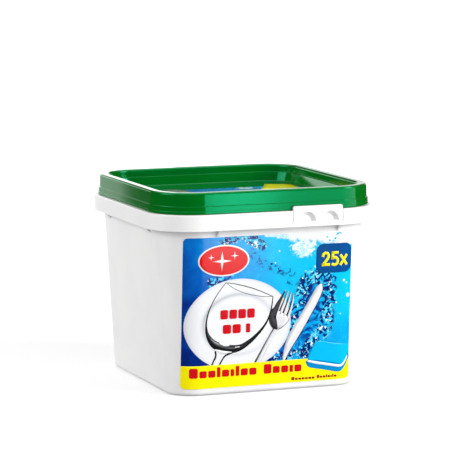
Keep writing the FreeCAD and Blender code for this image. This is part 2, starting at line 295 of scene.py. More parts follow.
def times(tree, first, second):
    """Product of two values."""
    return add(tree, "Math", {0: first, 1: second}, operation="MULTIPLY").outputs[0]


# %% Patterns and blends
def noise(tree, where, scale, detail=2.0, roughness=0.5, distortion=0.0):
    """Cloudy value from 0 to 1; scale is how many clouds there are to a metre."""
    wanted = {"Vector": where, "Scale": scale, "Detail": detail, "Roughness": roughness,
              "Distortion": distortion}
    return add(tree, "TexNoise", wanted).outputs["Fac"]


def wavering(tree, value, cloud, amount):
    """The value plus (cloud - a half) times the amount."""
    return plus(tree, value, times(tree, plus(tree, cloud, -0.5), amount))


def stored(tree, name):
    """Value of a mesh attribute."""
    return add(tree, "Attribute", attribute_name=name).outputs["Fac"]


def ramp(tree, value, stops):
    """Colour that follows (position, colour) stops."""
    node = add(tree, "ValToRGB", {"Fac": value})
    elements = node.color_ramp.elements
    while len(elements) < len(stops):
        elements.new(0.5)
    for element, (position, colour) in zip(elements, stops):
        element.position = position
        element.color = (*colour, 1)
    return node.outputs["Color"]


def mixed(tree, amount, first, second):
    """Blend of two colours."""
    first = (*first, 1) if isinstance(first, tuple) else first
    second = (*second, 1) if isinstance(second, tuple) else second
    node = add(tree, "Mix", {0: amount, 6: first, 7: second}, data_type="RGBA")
    return node.outputs[2]


def window(tree, value, low, high):
    """0 below low, 1 above high, and a smooth step between."""
    wanted = {"Value": value, "From Min": low, "From Max": high}
    return add(tree, "MapRange", wanted, interpolation_type="SMOOTHSTEP").outputs[0]


# %% Relief and surface
def bumps(tree, layers):
    """Normal bent by (height, strength, distance) layers, one on top of another."""
    normal = None
    for height, strength, distance in layers:
        wanted = {"Height": height, "Strength": strength, "Distance": distance}
        if normal is not None:
            wanted["Normal"] = normal
        normal = add(tree, "Bump", wanted).outputs[0]
    return normal


def surface(tree, output, inputs):
    """Principled surface with these inputs, joined to the material's output."""
    shader = add(tree, "BsdfPrincipled", inputs)
    tree.links.new(shader.outputs[0], output.inputs["Surface"])


# %% [markdown]
# ### White and green polypropylene
#
# Both mouldings are polypropylene: a soft satin white, and a glossier green.
# A thin wall never cools quite flat, so a slow wave bends the reflections, and
# a fine grain from the mould breaks them up. The green plastic's gloss takes
# on some of its own colour, which the specular tint gives.


# %% Moulded plastic
def moulded_plastic(name, pale, deep, roughness, wave, grain, tint=(1, 1, 1), scatter=0.0):
    """Polypropylene between two close colours, with a slow wave and a fine grain."""
    material, tree, output = new_finish(name)
    where = add(tree, "TexCoord").outputs["Object"]
    clouds = noise(tree, where, 35, 3)
    colour = mixed(tree, window(tree, clouds, 0.3, 0.7), deep, pale)
    normal = bumps(tree, [(noise(tree, where, 16, 1), wave, 0.001),
                          (noise(tree, where, 2600, 2), grain, 0.0001)])
    gloss = add(tree, "MapRange", {"Value": noise(tree, where, 420, 4), "To Min": roughness - 0.03,
                                   "To Max": roughness + 0.04}).outputs[0]
    surface(tree, output, {"Base Color": colour, "Roughness": gloss, "Normal": normal, "IOR": 1.49,
                           "Specular Tint": (*tint, 1), "Subsurface Weight": scatter,
                           "Subsurface Radius": (1.0, 0.9, 0.8), "Subsurface Scale": 1.5 * MM})
    return material


white_plastic = moulded_plastic("white_polypropylene", (0.885, 0.88, 0.875), (0.85, 0.845, 0.845),
                                0.34, 0.12, 0.14, scatter=0.05)
green_plastic = moulded_plastic("green_polypropylene", (0.0, 0.135, 0.008), (0.0, 0.120, 0.006),
                                0.12, 0.14, 0.05, tint=(0.03, 1.0, 0.55))
print("plastics", white_plastic.name, "and", green_plastic.name)


# %% [markdown]
# ### Printing ink
#
# The labels are film with ink behind a clear face, so every colour has the
# same gloss. Ink is never quite even: a faint mottle in the colour and a very
# shallow ripple keep a field of colour from looking like a flat fill.


# %% Ink
CLEAR_FACE = {"Roughness": 0.16, "Specular IOR Level": 0.3}


def ink(name, colour, mottle=0.05):
    """One printed colour with a faint mottle, under the label's clear gloss."""
    material, tree, output = new_finish(name)
    where = add(tree, "TexCoord").outputs["Object"]
    pale = tuple(min(1.0, part * (1 + mottle) + 0.01 * mottle) for part in colour)
    deep = tuple(part * (1 - mottle) for part in colour)
    tone = mixed(tree, noise(tree, where, 300, 4), deep, pale)
    normal = bumps(tree, [(noise(tree, where, 16, 1), 0.08, 0.001),
                          (noise(tree, where, 1500, 2), 0.05, 0.0001)])
    surface(tree, output, {"Base Color": tone, "Normal": normal, **CLEAR_FACE})
    return material


# %% [markdown]
# ## The tub
#
# One outline holds the whole wall: from under the floor out to the foot, up
# the leaning wall, out along the web, round the hanging collar, up the rim
# with its snap bead, and down the inside to the floor. Its two ends are capped,
# which closes the floor.

# %% The tub's section
PLATE_INSET = wall_inset(0) + FOOT_W + FLOOR_LAP
bead_top = RIM_TOP - BEAD_DROP
bead_low = bead_top - BEAD_H
bend_z = COLLAR_LOW + (WALL_INSET - RIM_INSET) / DRAFT

tub_outline = rounded([
    (PLATE_INSET, FOOT_H, 0),
    (wall_inset(0) + FOOT_W, FOOT_H, SMALL_R),
    (wall_inset(0) + FOOT_W, 0, SMALL_R),
    (wall_inset(0), 0, BASE_R),
    (wall_inset(WEB_LOW), WEB_LOW, ROOT_R),
    (COLLAR_T, WEB_LOW, ROOT_R),
    (COLLAR_T, COLLAR_LOW, SMALL_R),
    (0, COLLAR_LOW, COLLAR_LOW_R),
    (0, COLLAR_TOP, COLLAR_TOP_R),
    (RIM_INSET, COLLAR_TOP, SMALL_R),
    (RIM_INSET, bead_low - BEAD_OUT, 0),
    (BEAD_INSET, bead_low, TIGHT_R),
    (BEAD_INSET, bead_top, SMALL_R),
    (RIM_INSET, RIM_TOP, TIGHT_R),
    (RIM_INSET + WALL, RIM_TOP, ROOT_R),
    (RIM_INSET + WALL, bend_z, 0),
    (wall_inset(FLOOR_TOP) + WALL, FLOOR_TOP, FLOOR_R),
    (PLATE_INSET, FLOOR_TOP, 0),
])
tub_points = carried(tub_outline, SIDE_X, SIDE_Y, CORNER_R)
tub = make_mesh("tub_moulding", tub_points, closed_faces(*tub_points.shape[:2]))
face_outwards(tub)
print("tub section", len(tub_outline), "points, wall faces", len(tub.data.polygons))


# %% [markdown]
# ### Ribs and the tamper tab
#
# Thin ribs stand between the wall and the collar. The tamper tab is a plate
# in line with the collar, with two half-round finger grips and a thin tear
# line round it. They're small closed shapes, added to or cut from the wall
# with Boolean modifiers, because the moulding is one piece of plastic.


# %% Small solids
def prism(outline, low, high, place):
    """Outline of (a, b) points pushed from low to high; place puts a, b and the push on x, y, z."""
    ends = [np.column_stack([outline, np.full(len(outline), level)]) for level in (low, high)]
    return place(np.stack(ends)), closed_faces(2, len(outline))


def join(solids):
    """Points and faces of several solids as one list."""
    points = np.concatenate([grid.reshape(-1, 3) for grid, faces in solids])
    starts = np.cumsum([0] + [grid.reshape(-1, 3).shape[0] for grid, faces in solids])
    faces = [[index + start for index in face]
             for (grid, solid_faces), start in zip(solids, starts) for face in solid_faces]
    return points, faces


def combine(piece, solids, operation):
    """Adds the solids to the piece, or cuts them from it."""
    tool = make_mesh("tool", *join(solids))
    face_outwards(tool)
    modifier = piece.modifiers.new("combine", "BOOLEAN")
    modifier.operation = operation
    modifier.solver = "EXACT"
    modifier.object = tool
    apply_modifiers(piece)
    bpy.data.objects.remove(tool)


# %% Ribs under the collar
GUSSET_T = 1.1
GUSSET_DROP = 3.6
GUSSET_FROM_CORNER = 7.9
GUSSET_TUCK, KNEE_IN, KNEE_DROP, GUSSET_TIP = 1.2, 1.6, 0.6, 0.25
tip_z = COLLAR_LOW - GUSSET_DROP
rib_outline = np.array([
    (wall_inset(WEB_LOW) + WALL / 2, WEB_LOW + COLLAR_T / 2),
    (COLLAR_T / 2, WEB_LOW + COLLAR_T / 2),
    (COLLAR_T / 2, COLLAR_LOW + GUSSET_TUCK),
    (COLLAR_T + KNEE_IN, COLLAR_LOW - KNEE_DROP),
    (wall_inset(tip_z) - GUSSET_TIP, tip_z),
    (wall_inset(tip_z) + WALL / 2, tip_z),
])


def rib(offset, end, across):
    """Rib at an offset along the front or back (across) or along one side."""
    edge = end * (DEPTH if across else WIDTH) / 2

    def place(points):
        inset, z, push = points[..., 0], points[..., 1], points[..., 2]
        out = edge - end * inset
        return np.stack([push, out, z] if across else [out, push, z], axis=-1)

    return prism(rib_outline, offset - GUSSET_T / 2, offset + GUSSET_T / 2, place)


rib_x = SIDE_X - GUSSET_FROM_CORNER
rib_y = SIDE_Y - GUSSET_FROM_CORNER
ribs = [rib(-rib_x, -1, True), rib(SIDE_X - GUSSET_T / 2, -1, True)]
ribs += [rib(x, 1, True) for x in (-rib_x, rib_x)]
ribs += [rib(y, end, False) for end in (-1, 1) for y in (-rib_y, rib_y)]
combine(tub, ribs, "UNION")
print("ribs", len(ribs), "faces now", len(tub.data.polygons))

# %% Sizes of the tamper tab
TAB_W = 28.6
TAB_T = 1.4
TAB_FOOT, TAB_RISE, TAB_TOP_R = 2.0, 2.45, 1.0
TAB_LOW = COLLAR_LOW + TAB_FOOT
TAB_HIGH = COLLAR_TOP + TAB_RISE
TAB_RIGHT = SIDE_X
TAB_LEFT = TAB_RIGHT - TAB_W
SEAM_W, SEAM_DEEP = 0.45, 0.6
GRIP_PITCH = 13.3
GRIP_R, GRIP_FLOOR_R, GRIP_DEEP = 5.2, 3.7, 2.0
GRIP_WALL = 1.1
GRIP_FOOT = TAB_LOW + SEAM_W + 0.5
HAIR = 0.02
PROUD = 0.5
print("tab from %.2f to %.2f, grips %.1f apart" % (TAB_LOW, TAB_HIGH, GRIP_PITCH))


# %% Plates and cups
def upright(points):
    """Puts (x, z, push) points in place, the push running along y."""
    return np.stack([points[..., 0], points[..., 2], points[..., 1]], axis=-1)


def box_outline(left, right, low, high, low_r=0.0, high_r=0.0):
    """Rectangle in the face of the tab, with round lower and upper corners."""
    return rounded([(left, low, low_r), (right, low, low_r), (right, high, high_r),
                    (left, high, high_r)], closed=True)


def half_cone(x, foot_z, rings):
    """Half-round cup on a flat foot, through (y, radius) rings.

    A ring's points are (x + r cos a, y, foot + r sin a), a from 0 to 180 degrees.
    """
    angle = np.linspace(0, math.pi, 33)
    y, radius = np.array(rings).T[:, :, None]
    grid = np.stack([x + radius * np.cos(angle), y + 0 * angle, foot_z + radius * np.sin(angle)], -1)
    return grid, closed_faces(len(rings), len(angle))


# %% Cut the tab, its grips and its tear line
# A grip's mouth and floor are eased by a few tenths of a millimetre, so that
# light rounds their edges as it does on the real moulding.
grip_x = [(TAB_LEFT + TAB_RIGHT) / 2 + side * GRIP_PITCH / 2 for side in (-1, 1)]
floor_y = FRONT + GRIP_DEEP
plate = prism(box_outline(TAB_LEFT, TAB_RIGHT, TAB_LOW, TAB_HIGH, 0, TAB_TOP_R), FRONT + HAIR,
              FRONT + TAB_T, upright)
cups = [half_cone(x, GRIP_FOOT - GRIP_WALL, [(FRONT + COLLAR_T / 2, GRIP_R + GRIP_WALL),
                                            (floor_y + GRIP_WALL, GRIP_FLOOR_R + GRIP_WALL)])
        for x in grip_x]
hollows = [half_cone(x, GRIP_FOOT, [(FRONT - PROUD, GRIP_R + 0.3), (FRONT, GRIP_R + 0.25),
                                    (FRONT + 0.3, GRIP_R - 0.1), (floor_y - 0.4, GRIP_FLOOR_R + 0.2),
                                    (floor_y, GRIP_FLOOR_R - 0.3)])
           for x in grip_x]
seams = [prism(box_outline(*sides), FRONT - PROUD, FRONT + SEAM_DEEP, upright) for sides in (
    (TAB_LEFT - SEAM_W, TAB_LEFT, TAB_LOW + SEAM_W / 2, COLLAR_TOP + HAIR),
    (TAB_RIGHT, TAB_RIGHT + SEAM_W, TAB_LOW + SEAM_W / 2, COLLAR_TOP + HAIR),
    (TAB_LEFT - SEAM_W, TAB_RIGHT + SEAM_W, TAB_LOW, TAB_LOW + SEAM_W))]

combine(tub, [plate], "UNION")
for cup in cups:
    combine(tub, [cup], "UNION")
combine(tub, hollows, "DIFFERENCE")
for seam in seams:
    combine(tub, [seam], "DIFFERENCE")
soften(tub)
settle(tub, white_plastic, "tub", "white_plastic", "tub")
print("tub faces", len(tub.data.polygons), "spans", np.array(tub.dimensions) / MM)

# %% [markdown]
# ## The lid
#
# The lid's outline starts in the middle of the panel, climbs the leaning
# recess wall over its small ledge, rounds the crest, comes down the outside
# over the step to the flange's thicker foot, and goes back up inside past the
# snap bead and down to the plug that seals against the tub's inner wall.

# %% Sizes of the lid
LID_T = 1.1
CREST_T, CREST_W, CREST_OUT_R, CREST_IN_R = 1.3, 5.3, 1.2, 1.4
FLANGE_INSET, FLANGE_H, STEP_R = 2.2, 4.3, 0.2
FOOT_BEAD_OUT, FOOT_BEAD_H, FOOT_BEAD_R = 0.2, 1.35, 0.15
UPPER_INSET, UPPER_LEAN = 2.85, 0.12
RECESS_DEEP, RECESS_LEAN = 9.5, 1.7
LEDGE_DROP, LEDGE_W, LEDGE_FALL = 4.3, 0.65, 0.3
PANEL_LAP = 6.0
SNAP_OUT, SNAP_DROP, SNAP_R = 0.25, 1.0, 0.1
SEAL_GAP, SEAL_H, SEAL_IN, SEAL_UP, SEAL_BLEND = 0.16, 1.2, 0.2, 0.4, 0.8

CREST_LOW = HEIGHT - CREST_T
STEP_Z = COLLAR_TOP + FLANGE_H
LEDGE_Z = HEIGHT - LEDGE_DROP
LEDGE_FOOT = LEDGE_Z - LEDGE_FALL
PANEL_TOP = HEIGHT - RECESS_DEEP
PANEL_LOW = PANEL_TOP - LID_T
CREST_INSET = UPPER_INSET + UPPER_LEAN
RECESS_INSET = CREST_INSET + CREST_W
LOWER_RECESS = RECESS_INSET + LEDGE_W
PANEL_INSET = LOWER_RECESS + PANEL_LAP
INSIDE = UPPER_INSET + LID_T
snap_z = bead_low - BEAD_OUT - SNAP_DROP
seal_inset = max(RIM_INSET, wall_inset(PANEL_LOW)) + WALL + SEAL_GAP
print("lid's crest %.2f, panel %.2f, seal inset %.2f" % (HEIGHT, PANEL_TOP, seal_inset))

# %% The lid's section
lid_outline = rounded([
    (PANEL_INSET, PANEL_TOP, 0),
    (LOWER_RECESS + RECESS_LEAN, PANEL_TOP, ROOT_R),
    (LOWER_RECESS, LEDGE_FOOT, TIGHT_R),
    (RECESS_INSET, LEDGE_Z, SMALL_R),
    (RECESS_INSET, HEIGHT, CREST_IN_R),
    (CREST_INSET, HEIGHT, CREST_OUT_R),
    (UPPER_INSET, STEP_Z, FOOT_BEAD_R),
    (FLANGE_INSET, STEP_Z, STEP_R),
    (FLANGE_INSET, FLANGE_LOW + FOOT_BEAD_H + FOOT_BEAD_OUT, 0),
    (FLANGE_INSET - FOOT_BEAD_OUT, FLANGE_LOW + FOOT_BEAD_H, FOOT_BEAD_R),
    (FLANGE_INSET - FOOT_BEAD_OUT, FLANGE_LOW, SMALL_R),
    (FLANGE_INSET + LID_T, FLANGE_LOW, SMALL_R),
    (FLANGE_INSET + LID_T, STEP_Z - LID_T, TIGHT_R),
    (INSIDE, STEP_Z - LID_T + TIGHT_R, TIGHT_R),
    (INSIDE, snap_z - SNAP_OUT, 0),
    (INSIDE + SNAP_OUT, snap_z, SNAP_R),
    (INSIDE, snap_z + SNAP_OUT, 0),
    (INSIDE + UPPER_LEAN, CREST_LOW, SMALL_R),
    (RECESS_INSET - LID_T, CREST_LOW, SMALL_R),
    (RECESS_INSET - LID_T, LEDGE_FOOT + LEDGE_W - LID_T, 0),
    (LOWER_RECESS - LID_T, LEDGE_FOOT - LID_T, 0),
    (LOWER_RECESS - LID_T, PANEL_LOW + SEAL_H + SEAL_BLEND, 0),
    (seal_inset, PANEL_LOW + SEAL_H, SNAP_R),
    (seal_inset, PANEL_LOW + SEAL_UP, SNAP_R),
    (seal_inset + SEAL_IN, PANEL_LOW, TIGHT_R),
    (PANEL_INSET, PANEL_LOW, 0),
], steps=6)
lid_points = carried(lid_outline, SIDE_X, SIDE_Y, CORNER_R)
lid = make_mesh("lid_moulding", lid_points, closed_faces(*lid_points.shape[:2]))
face_outwards(lid)
soften(lid)
settle(lid, green_plastic, "lid", "green_plastic", "lid")
print("lid section", len(lid_outline), "points, faces", len(lid.data.polygons))

# %% [markdown]
# ## Laying print on the wall
#
# The front label is a film moulded into the wall. A place on it is (x, z) in
# millimetres: x to the right as seen from the front, z up from the floor. The
# wall is flat in the middle and turns into the corners at both ends, so the
# artwork is laid on by a formula. Each printed shape is a skin of its own, a
# few hundredths of a millimetre above the one under it.

# %% From artwork to the wall
LAYER = 0.03
FILM = 0.06
INK_T, SHEET_T = 0.015, 0.05


def on_wall(x, z, lift):
    """Place on the front wall, `lift` above the plastic.

    The arm is the corner radius less the wall's inset there. Beyond the flat,
    the turn is asin((|x| - flat) / arm), and the place is the corner's centre
    plus (arm + lift) times (sin, -cos) of the turn.
    """
    arm = CORNER_R - wall_inset(z)
    past = np.clip((np.abs(x) - SIDE_X) / arm, 0, 0.98)
    turn = np.arcsin(past)
    flat_x = np.sign(x) * np.minimum(np.abs(x), SIDE_X)
    return np.stack([flat_x + np.sign(x) * (arm + lift) * np.sin(turn),
                     -SIDE_Y - (arm + lift) * np.cos(turn), z + 0 * x], axis=-1)


def on_panel(x, y, lift):
    """Place on the lid's panel, where the artwork's second measure runs to the back."""
    return np.stack([x, y, PANEL_TOP + lift + 0 * x], axis=-1)


def thicken(piece, thickness):
    """Smooth shading, and a thickness in millimetres below the surface."""
    piece.data.shade_smooth()
    solid = piece.modifiers.new("film", "SOLIDIFY")
    solid.thickness = thickness * MM
    solid.offset = -1
    apply_modifiers(piece)


def attribute(piece, name, values):
    """Stores one value for each point of a piece, for its finish to read."""
    layer = piece.data.attributes.new(name, "FLOAT", "POINT")
    layer.data.foreach_set("value", np.asarray(values, np.float32).ravel())


# %% [markdown]
# Three kinds of printed shape are enough. A *field* is a rectangle with round
# corners, a *spread* is a closed outline filled from its middle, and a
# *stroke* is a path with a width that changes along it.


# %% Fields
def field(left, right, low, high, low_r, high_r, cell=1.0):
    """Grid of (x, z) over a rectangle with round corners.

    Rows close in near round corners; a row's ends move in by
    radius - sqrt(radius^2 - distance^2), which draws the arc.
    """
    quarter = 1 - np.cos(np.linspace(0, math.pi / 2, 9))
    middle = np.linspace(low + low_r, high - high_r, max(2, int((high - low) / cell)))
    z = np.concatenate([low + low_r * quarter[:-1], middle, high - high_r * quarter[-2::-1]])
    into_low = np.clip(low + low_r - z, 0, low_r)
    into_high = np.clip(z - high + high_r, 0, high_r)
    pinch = low_r - np.sqrt(np.maximum(low_r ** 2 - into_low ** 2, 0))
    pinch = pinch + high_r - np.sqrt(np.maximum(high_r ** 2 - into_high ** 2, 0))
    share = np.linspace(0, 1, max(2, int((right - left) / cell)))
    x = (left + pinch)[:, None] + (right - left - 2 * pinch)[:, None] * share
    return x, np.broadcast_to(z[:, None], x.shape)


# %% Smooth paths and loops
def smooth_path(points, count):
    """Curve through the points (Catmull-Rom): each span is a cubic set by its four nearest points."""
    data = np.array(points, float)
    padded = np.vstack([2 * data[0] - data[1], data, 2 * data[-1] - data[-2]])
    place = np.linspace(0, len(data) - 1, count)
    span = np.minimum(place.astype(int), len(data) - 2)
    t = (place - span)[:, None]
    a, b, c, d = (padded[span + k] for k in range(4))
    return 0.5 * (2 * b + (c - a) * t + (2 * a - 5 * b + 4 * c - d) * t ** 2
                  + (3 * b - a - 3 * c + d) * t ** 3)


def smooth_loop(points, count):
    """Closed curve through the points, made as a path that overlaps itself and is then trimmed."""
    data = np.array(points, float)
    n = len(data)
    around = smooth_path(np.vstack([data[-1:], data, data[:2]]), (n + 2) * count + 1)
    return around[count:(n + 1) * count]


def ellipse(x, z, half_x, half_z, count=72, tilt=0.0):
    """Points x + a cos t, z + b sin t, turned by tilt degrees."""
    t = np.linspace(0, 2 * math.pi, count, endpoint=False)
    c, s = math.cos(math.radians(tilt)), math.sin(math.radians(tilt))
    a, b = half_x * np.cos(t), half_z * np.sin(t)
    return np.column_stack([x + a * c - b * s, z + a * s + b * c])


# %% Filled outlines and strokes
def scaled(outline, amount):
    """Outline drawn in or out from its middle."""
    return outline.mean(0) + amount * (outline - outline.mean(0))


def spread(outline, rings=2):
    """Grid from an outline's middle out to its edge: middle + share * (edge - middle)."""
    middle = outline.mean(0)
    share = np.linspace(0, 1, rings + 1)[1:, None, None]
    grid = middle + share * (outline - middle)
    return grid[..., 0], grid[..., 1]


def spread_faces(rings, count):
    """Faces of a spread: rings of four-cornered faces round one face in the middle."""
    return grid_faces(rings, count, True) + [list(range(count))[::-1]]


def stroke(points, widths, count=48):
    """Strip along a smooth path: the path plus and minus half the width along its normal."""
    path = smooth_path(points, count)
    width = smooth_path(np.column_stack([widths, widths]), count)[:, :1]
    along = unit(np.gradient(path, axis=0))
    normal = np.column_stack([-along[:, 1], along[:, 0]])
    side = np.array([-0.5, 0.0, 0.5])[None, :, None]
    grid = path[:, None] + side * (np.maximum(width, 0.05) * normal)[:, None]
    return grid[..., 0], grid[..., 1]


# %% Put shapes on a label
def outward(faces, place, x, z):
    """The faces, turned over if one from the middle of the list looks into the wall."""
    points = place(x, z, 0.0).reshape(-1, 3)[np.array(faces[len(faces) // 2][:3])]
    normal = np.cross(points[1] - points[0], points[2] - points[0])
    wanted = place(x, z, 1.0).reshape(-1, 3)[0] - place(x, z, 0.0).reshape(-1, 3)[0]
    return faces if normal @ wanted > 0 else [face[::-1] for face in faces]


def print_shapes(name, shapes, finish, layer, place=on_wall, body="tub", slot="front_print"):
    """One printed piece of several shapes, each an (x, z, kind) grid, on the given layer."""
    solids = []
    for x, z, kind in shapes:
        rows, columns = x.shape
        faces = spread_faces(rows, columns) if kind == "spread" else grid_faces(rows, columns, False)
        lift = FILM + layer * LAYER
        solids.append((place(x, z, lift), outward(faces, place, x, z)))
    piece = make_mesh(name, *join(solids))
    thicken(piece, INK_T)
    print(name, "shapes", len(shapes), "faces", len(piece.data.polygons))
    return settle(piece, finish, body, slot)


def fields(*sizes, cell=1.0):
    """Shapes for print_shapes: fields given as (left, right, low, high, radius)."""
    return [(*field(a, b, c, d, r, r, cell), "field") for a, b, c, d, r in sizes]


def strokes(*paths, count=48):
    """Shapes for print_shapes: strokes given as (points, widths)."""
    return [(*stroke(points, widths, count), "field") for points, widths in paths]


def spreads(*outlines, rings=2):
    """Shapes for print_shapes: filled outlines."""
    return [(*spread(outline, rings), "spread") for outline in outlines]


# %% [markdown]
# ## The front label's water
#
# The ground of the label is a splash in blue water: deep navy at the lower
# left, bright cyan at the right, white foam at the top, and a churned trail
# that curls down the right-hand side. numpy works out how deep the water is at
# each point and how near it lies to the trail, and the finish breaks those
# values up with noise into drops and flecks.

# %% The label's edges, and nearness to a path
LEFT_MARGIN, RIGHT_MARGIN, LABEL_DROP = 15.5, 17.3, 3.95
LABEL_LEFT, LABEL_RIGHT = -WIDTH / 2 + LEFT_MARGIN, WIDTH / 2 - RIGHT_MARGIN
LABEL_LOW, LABEL_HIGH = 4.0, COLLAR_LOW - LABEL_DROP
LABEL_R = 2.2


def near(path, x, z):
    """Distance from each (x, z) to the nearest place on a path of straight spans.

    Along a span from a to b the nearest place is a + t (b - a), with
    t = (p - a).(b - a) / |b - a|^2 kept between 0 and 1.
    """
    points = np.array(path, float)
    start, step = points[:-1], np.diff(points, axis=0)
    gap = np.stack([x, z], -1)[..., None, :] - start
    t = np.clip((gap * step).sum(-1) / (step ** 2).sum(-1), 0, 1)
    return np.linalg.norm(gap - t[..., None] * step, axis=-1).min(-1)


def glow(distance, width):
    """1 on the line, falling away as exp(-(distance / width)^2)."""
    return np.exp(-(distance / width) ** 2)


# %% The water's values at every point
trail_outer = smooth_path([(34, 64), (34.5, 55), (33.5, 43), (32, 33), (25, 25), (15, 18), (2, 18)], 40)
trail_inner = smooth_path([(31, 63), (22, 61), (18.5, 52), (14, 45), (12.5, 36)], 24)
splash_top = smooth_path([(-29, 80.5), (-25, 85), (-18, 86), (-11, 84), (-6, 81)], 16)
splash_side = np.array([(-24, 66), (-28, 63.5), (-34, 62)])
streak_long = smooth_path([(-12, 77.5), (-7, 72.5), (-1, 69), (6, 66), (12, 65)], 20)
streak_short = np.array([(10, 59.5), (16, 58.8)])

sheet_x, sheet_z = field(LABEL_LEFT, LABEL_RIGHT, LABEL_LOW, LABEL_HIGH, LABEL_R, LABEL_R, 0.6)
lit = (sheet_x - LABEL_LEFT) / (LABEL_RIGHT - LABEL_LEFT)
high_up = (sheet_z - LABEL_LOW) / (LABEL_HIGH - LABEL_LOW)
depth_value = 0.04 + 0.42 * high_up + 0.85 * np.clip(1.5 * lit, 0, 1) ** 1.3 * (0.72 + 0.28 * high_up)
churn = np.maximum(glow(near(trail_outer, sheet_x, sheet_z), 4.2),
                   0.95 * glow(near(trail_inner, sheet_x, sheet_z), 4.5))
churn = np.maximum(churn, 0.9 * glow(near(splash_top, sheet_x, sheet_z), 3.4))
churn = np.maximum(churn, 0.9 * glow(near(splash_side, sheet_x, sheet_z), 3.0))
streak = np.maximum(glow(near(streak_long, sheet_x, sheet_z), 2.4),
                    0.8 * glow(near(streak_short, sheet_x, sheet_z), 1.6))
foam = np.maximum(glow(np.hypot((sheet_x - 19) / 1.4, sheet_z - 78.5), 6.5),
                  0.9 * glow(near([(-2, 87), (14, 85)], sheet_x, sheet_z), 3.0))
fade = glow(near([(14, 90), (30, 88), (50, 85)], sheet_x, sheet_z), 7.5)
murk = np.maximum(glow(np.hypot((sheet_x - 23) / 0.85, (sheet_z - 41) / 1.6), 11.0),
                  glow(np.hypot((sheet_x - 14) / 1.4, sheet_z - 22), 7.0))
print("label", sheet_x.shape, "points, churned share %.2f" % float((churn > 0.5).mean()))


# %% Water finish
NAVY = (0.0, 0.012, 0.155)
FOAM_WHITE = (0.86, 0.93, 0.95)


def water_finish(name):
    """Water by depth, then murk, dark swirls, bright streaks, flecks, foam and a fade, cut from noise."""
    material, tree, output = new_finish(name)
    where = add(tree, "TexCoord").outputs["Object"]
    slow = noise(tree, where, 60, 3, 0.55, 0.8)
    swirl = noise(tree, where, 120, 3, 0.55, 3.0)
    curl = noise(tree, where, 190, 3, 0.55, 2.6)
    fleck = noise(tree, where, 330, 3, 0.6, 1.2)
    churned, streaked, murky = (stored(tree, key) for key in ("churn", "streak", "murk"))
    deep = wavering(tree, stored(tree, "depth"), slow, 0.45)
    colour = ramp(tree, deep, [(0.0, (0.0, 0.003, 0.065)), (0.22, (0.0, 0.024, 0.24)),
                               (0.45, (0.0, 0.12, 0.52)), (0.68, (0.0, 0.30, 0.74)),
                               (0.9, (0.0, 0.41, 0.82)), (1.0, (0.0, 0.50, 0.88))])
    veil = times(tree, window(tree, curl, 0.53, 0.70), times(tree, window(tree, deep, 0.35, 0.9), 0.30))
    shade = times(tree, window(tree, murky, 0.15, 0.6), window(tree, swirl, 0.40, 0.50))
    blot = times(tree, window(tree, murky, 0.3, 0.8), window(tree, swirl, 0.54, 0.58))
    dark = times(tree, churned, window(tree, swirl, 0.45, 0.53))
    line = times(tree, streaked, window(tree, curl, 0.47, 0.56))
    bright = times(tree, window(tree, churned, 0.2, 0.6), window(tree, curl, 0.545, 0.59))
    spark = times(tree, window(tree, churned, 0.3, 0.6), window(tree, fleck, 0.625, 0.66))
    froth = plus(tree, stored(tree, "foam"), times(tree, curl, 1.3))
    cream = mixed(tree, window(tree, fleck, 0.42, 0.60), (0.42, 0.74, 0.88), FOAM_WHITE)
    clear = plus(tree, stored(tree, "fade"), times(tree, curl, 0.55))
    for amount, tone in ((veil, (0.05, 0.66, 0.92)), (times(tree, shade, 0.9), (0.0, 0.11, 0.46)),
                         (times(tree, blot, 0.8), NAVY), (window(tree, dark, 0.25, 0.5), NAVY),
                         (times(tree, window(tree, line, 0.25, 0.6), 0.75), NAVY),
                         (bright, (0.10, 0.66, 0.88)), (spark, FOAM_WHITE),
                         (window(tree, froth, 1.10, 1.38), cream),
                         (window(tree, clear, 0.55, 0.85), (0.86, 0.88, 0.89))):
        colour = mixed(tree, amount, colour, tone)
    normal = bumps(tree, [(noise(tree, where, 16, 1), 0.08, 0.001)])
    surface(tree, output, {"Base Color": colour, "Normal": normal, **CLEAR_FACE})
    return material


water = water_finish("printed_water")


# %% The sheet of water
def water_sheet(name, x, z, values, place, body, slot, above=0.0):
    """Sheet of printed water with its values stored on every point, front and back alike."""
    faces = outward(grid_faces(*x.shape, False), place, x, z)
    piece = make_mesh(name, place(x, z, FILM + above), faces)
    for key, value in values.items():
        attribute(piece, key, value)
    thicken(piece, SHEET_T)
    print(name, "points across and up", x.shape[::-1])
    return settle(piece, water, body, slot)


label_sheet = water_sheet("label_sheet", sheet_x, sheet_z, {
    "depth": depth_value, "churn": churn, "streak": streak, "foam": foam, "fade": fade,
    "murk": murk,
}, on_wall, "tub", "front_print")
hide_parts("front_label")

# %% [markdown]
# ## The table setting on the label
#
# A white plate lies behind a wine glass, a fork and a knife. The plate is one
# spread whose tone is stored at each point: a soft grey ring marks the edge of
# its well. The glass is drawn only by its dark edges, as a glass on a white
# ground is, so it's a few strokes that swell where the bowl turns.

# %% The plate
PLATE_X, PLATE_Z, PLATE_A, PLATE_B = -18.3, 38.2, 30.3, 25.1
plate_edge = ellipse(PLATE_X, PLATE_Z, PLATE_A, PLATE_B, 120)


def plate_finish():
    """Glazed white, greyer where the stored tone is low."""
    material, tree, output = new_finish("printed_plate")
    where = add(tree, "TexCoord").outputs["Object"]
    tone = wavering(tree, stored(tree, "tone"), noise(tree, where, 120, 3), 0.06)
    colour = ramp(tree, tone, [(0.0, (0.40, 0.42, 0.46)), (0.5, (0.68, 0.70, 0.74)),
                               (1.0, (0.86, 0.87, 0.89))])
    surface(tree, output, {"Base Color": colour, **CLEAR_FACE})
    return material


